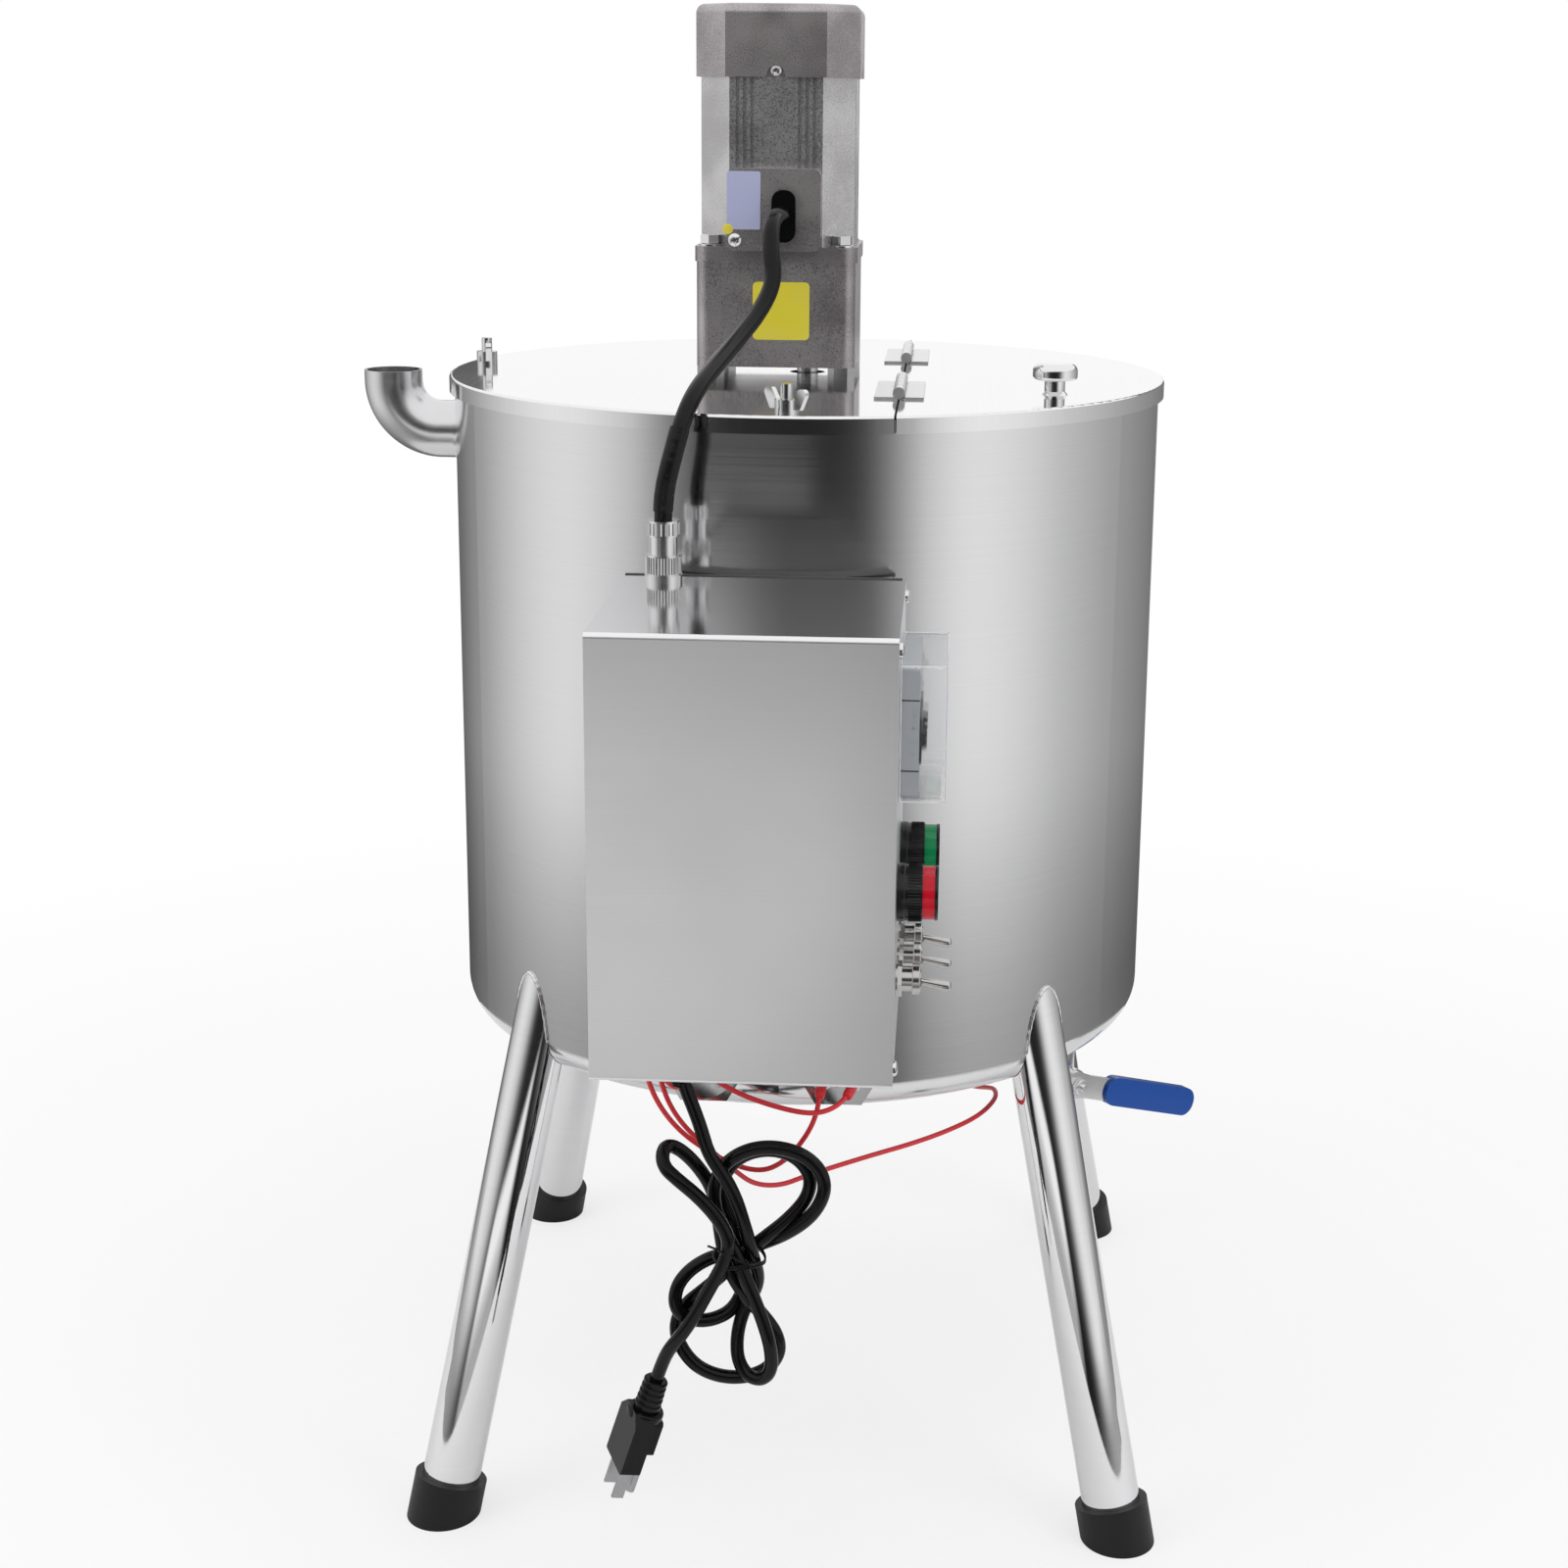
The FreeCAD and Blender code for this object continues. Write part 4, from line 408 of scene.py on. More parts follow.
power_route = [LEAD_EXIT, *DOWN_TO_TIE, *NARROW_LOOP, *OUTER_LOOP, *SMALL_LOOP, *INNER_LOOP,
               *BIG_LOOP, *HAIRPIN, PLUG_TOP]
power_lead = cord_curve("power_cord", power_route, LEAD_RADIUS * MM, lead_rubber)
power_length = length_along("power_line", power_route)
print("power lead:", round(power_length, 3), "m")

# %% [markdown]
# ## The motor's cable
# A heavier cable comes out of the grommet, bends down over the lid and goes into the round
# connector on the box. It has no free end.

# %% Motor cable
CABLE_RADIUS = 4.5
MOTOR_ROUTE = [
    (-9.8, -63, 709.6), (-11, -80, 712), (-14, -97, 707), (-13, -106, 693), (-11, -110, 678),
    (-17, -122, 664), (-27, -145, 651), (-36, -175, 640), (-44, -202, 629), (-49, -215, 614),
    (-53, -220, 598), (-56.5, -219.5, 583), (-57, -218.5, 569.5),
]
motor_cable = cord_curve("motor_lead", MOTOR_ROUTE, CABLE_RADIUS * MM, lead_rubber)
motor_length = length_along("motor_line", MOTOR_ROUTE)
print("motor cable:", round(motor_length, 3), "m")

# %% [markdown]
# ## Metals
# Brushed steel is smooth along its grain and rougher across it. On the wall the grain runs round
# the tank, so a reflection is drawn out upwards: the shader's anisotropy does that, with the
# tangent going round z. A fine stretched noise gives the grain itself, and a coarse soft one
# smudges its gloss.

# %% Steel helpers
def steel(name, colour, roughness, grain, vary, **sockets):
    """Steel with fine lines along a grain and smudges in its gloss."""
    material, tree, shader = new_material(name, colour, 1.0, roughness, **sockets)
    lines = noise(tree, place_of(tree, grain), 1.0, 4, 0.65)
    smudge = noise(tree, place_of(tree), 9.0, 2)
    both = calc(tree, "ADD", lines, smudge)
    gloss = spread(tree, both, roughness - vary, roughness + vary, 0.7, 1.3)
    tree.links.new(gloss, shader.inputs["Roughness"])
    darker = tuple(c * 0.97 for c in colour)
    colour_between(tree, shader, spread(tree, lines, 0, 1), darker, colour)
    return material


def round_z(material):
    """Turns the anisotropy so that it runs round the z axis."""
    tree = material.node_tree
    tangent = add_node(tree, "ShaderNodeTangent", direction_type="RADIAL", axis="Z")
    tree.links.new(tangent.outputs[0], tree.nodes["Principled BSDF"].inputs["Tangent"])
    return material


def dress(material, *names):
    """Gives CAD nodes a finish."""
    for name in names:
        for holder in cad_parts[name].material_slots:
            holder.material = material


# %% Steels of the tank
wall_steel = round_z(steel("wall_steel", (0.80, 0.80, 0.81), 0.14, (2, 2, 1500), 0.02,
                           Anisotropic=0.6, Anisotropic_Rotation=0.25))
lid_steel = steel("lid_steel", (0.88, 0.88, 0.89), 0.07, (500, 3, 3), 0.02)
tube_steel = steel("tube_steel", (0.84, 0.84, 0.85), 0.05, (3, 3, 500), 0.015)
box_steel = steel("box_steel", (0.88, 0.88, 0.89), 0.36, (3, 3, 900), 0.04)
tree = box_steel.node_tree
facing = add_node(tree, "ShaderNodeSeparateXYZ",
                  {0: add_node(tree, "ShaderNodeNewGeometry").outputs["Normal"]})
upper = spread(tree, facing.outputs["Z"], 1.0, 0.3, 0.3, 0.9)
shader = tree.nodes["Principled BSDF"]
gloss = shader.inputs["Roughness"].links[0].from_socket
tree.links.new(calc(tree, "MULTIPLY", gloss, upper), shader.inputs["Roughness"])
CAST = (60, 60, 60)
bright_metal = steel("bright_metal", (0.80, 0.80, 0.80), 0.16, CAST, 0.04)
inside_steel = round_z(steel("inside_steel", (0.74, 0.74, 0.75), 0.28, (3, 3, 700), 0.04,
                             Anisotropic=0.6, Anisotropic_Rotation=0.25))
dress(wall_steel, "jacket", "jacket_rim")
dress(inside_steel, "inner_vessel", "agitator")
dress(lid_steel, "lid_fixed_half", "lid_flap")
dress(tube_steel, "leg_rear_right", "leg_rear_left", "leg_front_left", "leg_front_right",
      "lid_knob")
dress(box_steel, "control_box", "control_panel", "box_rails")
hinge_steel = steel("hinge_steel", (0.80, 0.80, 0.80), 0.36, CAST, 0.04)
elbow_steel = steel("elbow_steel", (0.74, 0.74, 0.75), 0.24, CAST, 0.03)
dress(hinge_steel, "hinge_fixed_leaves", "hinge_flap_leaves")
dress(elbow_steel, "filler_elbow")
nickel = steel("nickel", (0.56, 0.55, 0.54), 0.2, CAST, 0.03)
dress(nickel, "toggle_bushes", "toggle_lever_1", "toggle_lever_2", "toggle_lever_3")
dress(bright_metal, "lid_studs", "wing_nuts", "motor_standoffs",
      "cable_connector", "heater_bosses", "heaters", "heater_terminals", "drain_nipple",
      "drain_valve_body", "drain_valve_ball", "drain_valve_lever", "level_sensor")
pin_metal = steel("pin_metal", (0.42, 0.42, 0.43), 0.3, CAST, 0.05)
dress(pin_metal, "power_plug_pins")
print("steels:", [m.name for m in bpy.data.materials if "steel" in m.name])

# %% [markdown]
# ## Paint, plastic and rubber
# The motor's castings have a taupe hammer paint with tiny metallic specks. The panel's parts are
# plain moulded plastics, the coloured lenses among them.

# %% Motor paint
def speckled(name, dark, light, metallic, roughness, bumps):
    """Paint with small specks that catch the light."""
    material, tree, shader = new_material(name, dark, metallic, roughness)
    specks = noise(tree, place_of(tree), 1400, 2, 0.7)
    cloud = noise(tree, place_of(tree), 30, 2)
    both = calc(tree, "ADD", specks, cloud)
    colour_between(tree, shader, spread(tree, both, 0, 1, 0.85, 1.15), dark, light)
    gloss_between(tree, shader, specks, roughness - 0.07, roughness + 0.08)
    relief(tree, shader, specks, 0.00012, bumps)
    return material


casting_paint = speckled("casting_paint", (0.30, 0.28, 0.285), (0.50, 0.47, 0.475), 0.85, 0.33,
                          0.35)
frame_paint = speckled("frame_paint", (0.50, 0.49, 0.49), (0.70, 0.69, 0.69), 0.95, 0.3,
                        0.12)
dress(casting_paint, "gearbox", "motor_flange", "fan_cover")
dress(frame_paint, "motor_frame")

# %% Plastics and rubber
def moulded(name, colour, roughness, **sockets):
    """Moulded plastic with a fine grain."""
    light = tuple(min(1, c * 1.12 + 0.004) for c in colour)
    return grained(name, colour, light, roughness, 700, roughness - 0.05, roughness + 0.05,
                   **sockets)


black_plastic = moulded("black_plastic", (0.005, 0.005, 0.006), 0.22, Specular_IOR_Level=0.4)
grey_plastic = moulded("grey_plastic", (0.36, 0.38, 0.40), 0.45)
green_lens = moulded("green_lens", (0.0, 0.22, 0.07), 0.14, Specular_IOR_Level=0.3)
red_lens = moulded("red_lens", (0.55, 0.004, 0.02), 0.14, Specular_IOR_Level=0.3)
blue_vinyl = moulded("blue_vinyl", (0.0, 0.06, 0.33), 0.2, Specular_IOR_Level=0.4)
foot_rubber = moulded("foot_rubber", (0.006, 0.006, 0.0065), 0.45, Specular_IOR_Level=0.3)
wire_red = moulded("wire_red", (0.62, 0.02, 0.03), 0.4)
clear_plastic = smudged("clear_plastic", (0.97, 0.98, 0.99), 0.03, 60, 3, 0.03, 0.09, IOR=1.3,
                        Transmission_Weight=1.0, Alpha=0.45)
dress(foot_rubber, "foot_rear_right", "foot_rear_left", "foot_front_left", "foot_front_right")
dress(lead_rubber, "cable_grommet", "motor_cable", "power_lead", "power_lead_hank",
      "power_lead_tail", "power_plug")
dress(black_plastic, "lamp_bezels", "thumbwheels", "cord_gland")
dress(grey_plastic, "temperature_controller")
dress(clear_plastic, "controller_cover")
dress(green_lens, "lamp_green")
dress(red_lens, "lamp_red")
dress(blue_vinyl, "drain_lever_sleeve")
dress(wire_red, "heater_wire_left", "heater_wire_right", "hanging_wire", "sensor_wire")
print("materials:", len(bpy.data.materials))

# %% [markdown]
# ## Tools for small pieces
# Most small pieces are turned or hexagonal, so one helper sweeps a profile round an axis. It works
# in millimetres and puts the shape straight where it belongs, because a finished piece's object
# stays at the origin. A profile that starts and ends on the axis gives a closed skin. Another
# helper closes a skin over a row of rings, for the plates, blocks, welds and strips.

# %% Turned shapes
def lathe(form, profile, place, aim=(0, 0, 1), steps=40):
    """Adds a profile of (radius, height) turned about an axis through a place."""
    frame_of = Vector(aim).to_track_quat("Z", "Y").to_matrix()
    rings = []
    for radius, height in profile:
        ring = []
        for step in range(steps if radius else 1):
            angle = 2 * math.pi * step / steps
            point = Vector((radius * math.cos(angle), radius * math.sin(angle), height))
            ring.append(form.verts.new((Vector(place) + frame_of @ point) * MM))
        rings.append(ring)
    for low, high in zip(rings, rings[1:]):
        for step in range(max(len(low), len(high))):
            after = (step + 1) % steps
            corners = [low[step % len(low)], low[after % len(low)], high[after % len(high)],
                       high[step % len(high)]]
            unique = list(dict.fromkeys(corners))
            if len(unique) > 2:
                form.faces.new(unique)


def ring_of(form, points):
    """Corners at points given in millimetres."""
    return [form.verts.new(Vector(point) * MM) for point in points]


def loft(form, rings):
    """A closed skin over a row of rings that all have the same count."""
    for low, high in zip(rings, rings[1:]):
        for i in range(len(low)):
            j = (i + 1) % len(low)
            form.faces.new((low[i], low[j], high[j], high[i]))
    form.faces.new(rings[0])
    form.faces.new(rings[-1])


WELD_WITHIN = 0.000002


def skin(name, form, sharp):
    """The mesh of a bmesh: welded, facing outwards, smooth up to an angle."""
    bmesh.ops.remove_doubles(form, verts=form.verts, dist=WELD_WITHIN)
    bmesh.ops.recalc_face_normals(form, faces=form.faces)
    mesh = bpy.data.meshes.new(name)
    form.to_mesh(mesh)
    form.free()
    for face in mesh.polygons:
        face.use_smooth = True
    mesh.set_sharp_from_angle(angle=math.radians(sharp))
    return mesh


def finished(name, form, material, body="tank", sharp=32):
    """Makes the piece of a bmesh and lets it ride on its body."""
    mesh = skin(name, form, sharp)
    mesh.materials.append(material)
    made = put(name, mesh)
    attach(made, body)
    return made


HEX = 1 / math.cos(math.pi / 6)


def hex_profile(across, height, low=0.0):
    """A hexagon's profile with both rims chamfered."""
    corner = across / 2 * HEX
    cut = 0.06 * across
    top = low + height
    return [(0, low), (corner - cut, low), (corner, low + cut / 2), (corner, top - cut / 2),
            (corner - cut, top), (0, top)]


print("helpers ready")

# %% [markdown]
# ## Screws, bolts and nuts
# The tank is held together by a few kinds of fastener, each used several times. Geometry Nodes
# suit that: one tree puts a head on every point of a small carrier mesh, aims it along the point's
# own direction and turns it by a random angle, as real screws end up. The seed is fixed, so the
# result is the same on each run. The tree ends in Realize Instances, and the result is made a
# plain mesh.

# %% The tree that sets heads on points
def live(sockets, name):
    """The socket of that name that the node's present type uses."""
    return next(socket for socket in sockets if socket.name == name and socket.enabled)


def new_tree(name, inputs):
    """An empty tree with those inputs and one geometry output."""
    tree = bpy.data.node_groups.new(name, "GeometryNodeTree")
    for label, kind in inputs:
        tree.interface.new_socket(label, in_out="INPUT", socket_type="NodeSocket" + kind)
    tree.interface.new_socket("Pieces", in_out="OUTPUT", socket_type="NodeSocketGeometry")
    return tree, tree.nodes.new("NodeGroupInput")


def along_aim(tree):
    """The turn that brings +z to each point's own direction."""
    direction = add_node(tree, "GeometryNodeInputNamedAttribute", {"Name": "aim"},
                         data_type="FLOAT_VECTOR")
    return add_node(tree, "FunctionNodeAlignRotationToVector",
                    {"Vector": live(direction.outputs, "Attribute")}, axis="Z").outputs[0]


def end_tree(tree, given, placed):
    """Makes the copies real, gives them their material and hands them out."""
    real = add_node(tree, "GeometryNodeRealizeInstances", {"Geometry": placed.outputs[0]})
    coated = add_node(tree, "GeometryNodeSetMaterial",
                      {"Geometry": real.outputs[0], "Material": given.outputs["Finish"]})
    tree.links.new(coated.outputs[0], tree.nodes.new("NodeGroupOutput").inputs[0])


heads, given = new_tree("heads_on_points", (
    ("Places", "Geometry"), ("Head", "Object"), ("Size", "Float"), ("Turn", "Float"),
    ("Seed", "Int"), ("Finish", "Material")))
head_info = add_node(heads, "GeometryNodeObjectInfo", {"Object": given.outputs["Head"]})
chance = add_node(heads, "FunctionNodeRandomValue", {"Seed": given.outputs["Seed"]},
                  data_type="FLOAT")
heads.links.new(given.outputs["Turn"], live(chance.inputs, "Max"))
spin = add_node(heads, "FunctionNodeAxisAngleToRotation",
                {"Axis": (0, 0, 1), "Angle": live(chance.outputs, "Value")})
both = add_node(heads, "FunctionNodeRotateRotation",
                {"Rotation": along_aim(heads), "Rotate By": spin.outputs[0]},
                rotation_space="LOCAL")
placed = add_node(heads, "GeometryNodeInstanceOnPoints",
                  {"Points": given.outputs["Places"], "Instance": head_info.outputs["Geometry"],
                   "Rotation": both.outputs[0], "Scale": given.outputs["Size"]})
end_tree(heads, given, placed)


def carrier(name, places):
    """A mesh of bare points in metres, each with the direction that its piece looks in."""
    mesh = bpy.data.meshes.new(name)
    mesh.from_pydata([Vector(point) * MM for point, aim in places], [], [])
    aims = mesh.attributes.new("aim", "FLOAT_VECTOR", "POINT")
    for entry, (point, aim) in zip(aims.data, places):
        entry.vector = aim
    return put(name, mesh)


def grown(name, tree, holder, inputs, body):
    """Runs a tree on a holder and keeps the result as a plain mesh of its own."""
    modifier = holder.modifiers.new("grow", "NODES")
    modifier.node_group = tree
    for socket in tree.interface.items_tree:
        if socket.in_out == "INPUT" and socket.name in inputs:
            modifier[socket.identifier] = inputs[socket.name]
    mesh = plain_mesh(holder)
    bpy.data.objects.remove(holder)
    mesh.name = name
    if "aim" in mesh.attributes:
        mesh.attributes.remove(mesh.attributes["aim"])
    made = put(name, mesh)
    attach(made, body)
    print(name, len(mesh.polygons), "faces")
    return made


def set_heads(name, head, places, size=1.0, seed=3, body="tank"):
    """One head of bright metal on each place, turned by chance."""
    inputs = {"Head": head, "Size": size, "Turn": 2 * math.pi, "Seed": seed,
              "Finish": bright_metal}
    return grown(name, heads, carrier(name + "_places", places), inputs, body)


# %% The heads themselves
HEAD_SHARP = 30


def head_object(name, form):
    """A head at the origin, looking along +z, that is only copied from."""
    return put(name, skin(name, form, HEAD_SHARP))


def cross_head():
    """A pan head of 3.6 mm radius with a cross recess."""
    form = bmesh.new()
    lathe(form, [(0, 0), (3.6, 0), (3.6, 0.9), (3.3, 1.5), (2.5, 2.0), (1.4, 2.25), (0, 2.3)],
          (0, 0, 0), steps=28)
    dome = head_object("cross_dome", form)
    form = bmesh.new()
    for turned_by in (0, math.pi / 2):
        turn = Matrix.Rotation(turned_by, 3, "Z")
        loft(form, [ring_of(form, [turn @ Vector((sx * x, sy * y, z))
                                   for sx, sy in ((1, 1), (1, -1), (-1, -1), (-1, 1))])
                    for x, y, z in ((1.9, 0.45, 3), (0.8, 0.3, 0.9))])
    bmesh.ops.recalc_face_normals(form, faces=form.faces)
    mesh = bpy.data.meshes.new("cross_driver")
    form.to_mesh(mesh)
    form.free()
    driver = put("cross_driver", mesh)
    cut = dome.modifiers.new("recess", "BOOLEAN")
    cut.operation = "DIFFERENCE"
    cut.solver = "EXACT"
    cut.use_self = True
    cut.object = driver
    made = put("cross_head", plain_mesh(dome))
    bpy.data.objects.remove(dome)
    bpy.data.objects.remove(driver)
    return made


screw_head = cross_head()
form = bmesh.new()
lathe(form, [(0, 0), (6.2, 0), (6.2, 1.0), (5.9, 1.2), (0, 1.2)], (0, 0, 0), steps=32)
lathe(form, hex_profile(10, 5.2, 1.2), (0, 0, 0), steps=6)
hex_bolt = head_object("hex_bolt", form)
form = bmesh.new()
lathe(form, hex_profile(7, 2.8), (0, 0, 0), steps=6)
lathe(form, [(0, 2.8), (1.9, 2.8), (1.9, 4.2), (1.5, 4.6), (0, 4.6)], (0, 0, 0), steps=16)
small_nut = head_object("small_nut", form)
print("cross head faces:", len(screw_head.data.polygons))

# %% Set the fasteners
RIGHT, FRONT, UP = (1, 0, 0), (0, -1, 0), (0, 0, 1)
PANEL_FACE = 62.5
MOTOR_X = -15.5
COVER_HALF, BOLT_HALF = 42.5, 36.5
SIDES = [(0, -1), (1, 0), (0, 1), (-1, 0)]
panel_places = [((PANEL_FACE, y, z), RIGHT) for y in (-334, -214) for z in (334, 532.5)]
notch_places = [((MOTOR_X + COVER_HALF * x, COVER_HALF * y, 786.6), (x, y, 0)) for x, y in SIDES]
set_heads("panel_screws", screw_head, panel_places)
set_heads("fan_cover_screws", screw_head, notch_places, 0.9, seed=5)
corner_places = [((MOTOR_X + BOLT_HALF * x, BOLT_HALF * y, 691.9), UP)
                 for x in (-1, 1) for y in (-1, 1)]
set_heads("flange_bolts", hex_bolt, corner_places, seed=7)
HEATER_XS, HEATER_Z, PIN_CIRCLE = (-38, 32), 285, 9
pin_turns = [math.radians(90 + 120 * i) for i in range(3)]
terminal_places = [((x + PIN_CIRCLE * math.cos(a), -225.5, HEATER_Z + PIN_CIRCLE * math.sin(a)),
                    FRONT) for x in HEATER_XS for a in pin_turns]
set_heads("terminal_nuts", small_nut, terminal_places, 1.15, seed=9)
VALVE_AT, VALVE_TURN, STEM_LENGTH = (150, 0, 195), math.radians(40), 27.6
STEM = (math.sin(VALVE_TURN), -math.cos(VALVE_TURN), 0)
stem_end = tuple(c + STEM_LENGTH * d for c, d in zip(VALVE_AT, STEM))
set_heads("lever_nut", small_nut, [(stem_end, STEM)], 1.25, seed=2, body="valve_handle")
set_heads("earth_screw", screw_head, [((-36.5, -58, 696.5), FRONT)], 1.05, seed=4)
for pattern in (screw_head, hex_bolt, small_nut):
    bpy.data.objects.remove(pattern)
print("fasteners set")

# %% [markdown]
# ## Ribs round an axis
# The connector's ring, the thumbwheels and the lamp collars have fine ribs for grip. A second tree
# makes one ring of ribs and sets it on each point: the count, the radius and the rib's size are
# its inputs.

# %% The tree for ribs
ribs, given = new_tree("ribbed_rings", (
    ("Places", "Geometry"), ("Count", "Int"), ("Radius", "Float"), ("Rib length", "Float"),
    ("Rib size", "Float"), ("Finish", "Material")))
circle = add_node(ribs, "GeometryNodeMeshCircle",
                  {"Vertices": given.outputs["Count"], "Radius": given.outputs["Radius"]})
bar = add_node(ribs, "GeometryNodeMeshCylinder",
               {"Vertices": 6, "Side Segments": 1, "Radius": given.outputs["Rib size"],
                "Depth": given.outputs["Rib length"]})
outward = add_node(ribs, "FunctionNodeAlignRotationToVector",
                   {"Vector": add_node(ribs, "GeometryNodeInputPosition").outputs[0]}, axis="X")
ring = add_node(ribs, "GeometryNodeInstanceOnPoints",
                {"Points": circle.outputs["Mesh"], "Instance": bar.outputs["Mesh"],
                 "Rotation": outward.outputs[0]})
placed = add_node(ribs, "GeometryNodeInstanceOnPoints",
                  {"Points": given.outputs["Places"], "Instance": ring.outputs[0],
                   "Rotation": along_aim(ribs)})
end_tree(ribs, given, placed)


def set_ribs(name, places, count, radius, length, size, material, aim=UP):
    """A ring of ribs round each place."""
    places = [(place, aim) for place in places]
    inputs = {"Count": count, "Radius": radius * MM, "Rib length": length * MM,
              "Rib size": size * MM, "Finish": material}
    return grown(name, ribs, carrier(name + "_places", places), inputs, "tank")


# %% Ribs on the connector and the wheels
set_ribs("connector_knurl", [(-57, -218.5, 547.5)], 40, 8.6, 8.4, 0.35, bright_metal)
set_ribs("connector_clamp_ribs", [(-57, -218.5, 565.5)], 24, 7.7, 6.0, 0.4, bright_metal)
WHEEL_X, WHEEL_YS, WHEEL_PITCH = 68.0, (-288.5, -258.5), 2.9
WHEELS = [(WHEEL_X, y, low + WHEEL_PITCH * step) for y, low in zip(WHEEL_YS, (477.2, 478.4))
          for step in range(3)]
set_ribs("thumbwheel_ribs", WHEELS, 30, 6.75, 1.9, 0.25, black_plastic)
LAMP_YS, LAMP_Z = (-236.5, -303.0), 409.5
set_ribs("lamp_collar_ribs", [(70.9, y, LAMP_Z) for y in LAMP_YS], 60, 13.45, 6.2, 0.25,
         black_plastic, RIGHT)
print("ribs set")

# %% [markdown]
# ## Blank plates
# Two thin plates sit on the motor, a pale one beside the cable and a yellow one on the gearbox.
# Both are left blank. Each is a rounded rectangle with a small edge round, made from an outline.

# %% Plates
def plate(name, middle, width, height, corner, thick, material):
    """A thin rounded plate that faces the front."""
    form = bmesh.new()
    cx, cy, cz = middle
    rings = []
    for inset, rise in ((0, 0), (0, thick * 0.6), (thick * 0.5, thick)):
        ring = []
        for quarter, (sx, sz) in enumerate(((1, 1), (-1, 1), (-1, -1), (1, -1))):
            for step in range(7):
                angle = math.radians(90 * quarter + 15 * step)
                r = corner - inset
                x = cx + sx * (width / 2 - corner) + r * math.cos(angle)
                z = cz + sz * (height / 2 - corner) + r * math.sin(angle)
                ring.append((x, cy - rise, z))
        rings.append(ring_of(form, ring))
    loft(form, rings)
    return finished(name, form, material)


def enamel(name, colour):
    """A plain foil: flat colour with slight fading and fine scuffs."""
    material, tree, shader = new_material(name, colour, 0, 0.3, Coat_Weight=0.2)
    fade = noise(tree, place_of(tree), 45, 3)
    faded = tuple(min(1.0, c * 0.9 + 0.05) for c in colour)
    colour_between(tree, shader, spread(tree, fade, 0, 1), colour, faded)
    scuffs = noise(tree, place_of(tree, (40, 40, 900)), 1.0, 3)
    gloss_between(tree, shader, scuffs, 0.28, 0.33)
    return material


pale_foil = enamel("pale_foil", (0.40, 0.42, 0.62))
yellow_foil = enamel("yellow_foil", (0.72, 0.62, 0.03))
plate("pale_plate", (-31.8, -58.05, 717.6), 18.4, 31, 1.0, 0.35, pale_foil)
plate("yellow_plate", (-12.2, -44.05, 657.2), 31.4, 31.8, 2.6, 0.35, yellow_foil)
form = bmesh.new()
lathe(form, [(0, 0), (2.9, 0), (2.9, 0.25), (2.6, 0.4), (0, 0.4)], (-40.3, -58.05, 702.3),
      FRONT)
finished("earth_dot", form, yellow_foil)
print("plates made")

# %% [markdown]
# ## Red wires
# Four thin silicone wires leave the box from below. Two go straight to the heaters, one hangs in a
# slack bow before it goes up to the right heater, and one crosses under the tank to the level
# sensor. They are limp, so each is one soft spline from end to end.

# %% Wires
WIRE_RADIUS = 1.3
WIRES = {
    "heater_wire_left": [
        (-68, -255, 327), (-66, -256, 313), (-60, -256, 300), (-52, -255, 289),
        (-46.5, -245, 282), (-45.8, -233, 280.5),
    ],
    "heater_wire_right": [
        (-45, -248, 327), (-44, -249, 309), (-35, -250, 294), (-19, -251, 284),
        (0, -253, 278), (18, -255, 275), (29, -253, 276), (37, -244.5, 279),
        (39.8, -233, 280.5),
    ],
    "hanging_wire": [
        (-68, -247, 327), (-67, -247, 307), (-63, -247, 286), (-56, -247, 271),
        (-45, -247, 258), (-30, -247.5, 248), (-16, -248, 241.5), (-4, -248, 240),
        (5.5, -248, 245), (13, -248.5, 253.5), (19, -248.5, 263), (22.5, -247, 271.5),
        (23.8, -241, 279.5), (24.2, -233, 280.5),
    ],
    "sensor_wire": [
        (-62, -241, 327), (-61, -240, 305), (-58, -239, 285), (-53, -239, 270),
        (-44, -239, 257), (-32, -238, 246), (-20, -234, 233), (-11, -224, 221),
        (2, -212, 215), (15.4, -205, 218), (30, -196, 219.5), (50, -183, 221),
        (69, -172, 222.5), (88, -159, 224.5), (106, -143, 227), (116, -123, 229),
        (116, -102, 226), (112, -86, 220), (106, -72, 214), (101, -57, 209),
        (98, -46, 212), (97, -40.5, 220), (97, -40, 228),
    ],
}
wire_curves, wire_lengths = {}, {}
for name, route in WIRES.items():
    wire_curves[name] = cord_curve("red_" + name, route, WIRE_RADIUS * MM, wire_red)
    wire_lengths[name] = length_along("line_" + name, route)
print("wires:", {name: round(length, 3) for name, length in wire_lengths.items()})

# %% Sleeves at the wires' ends
def sleeve(form, place, aim, length, radius):
    """A soft tube over a joint, a little wider in its middle."""
    wide = radius + 0.25
    profile = [(0, 0), (radius * 0.86, 0), (radius, 0.8), (wide, length * 0.3),
               (wide, length * 0.7), (radius, length - 0.8), (radius * 0.8, length), (0, length)]
    lathe(form, profile, place, aim, steps=20)


form = bmesh.new()
for name in ("heater_wire_left", "heater_wire_right", "hanging_wire"):
    before, end = WIRES[name][-2:]
    aim = Vector(before) - Vector(end)
    sleeve(form, Vector(end) + aim.normalized() * 0.2, aim, 9.5, 2.5)
sleeve(form, (32, -235.4, 295.5), (0.05, -0.12, -1), 13, 2.4)
sleeve(form, (-38, -235.4, 295.5), (-0.05, -0.12, -1), 12, 2.4)
sleeve(form, (97, -40.3, 227.5), (0.05, -0.1, -1), 7, 2.6)
finished("wire_sleeves", form, wire_red)
print("sleeves made")

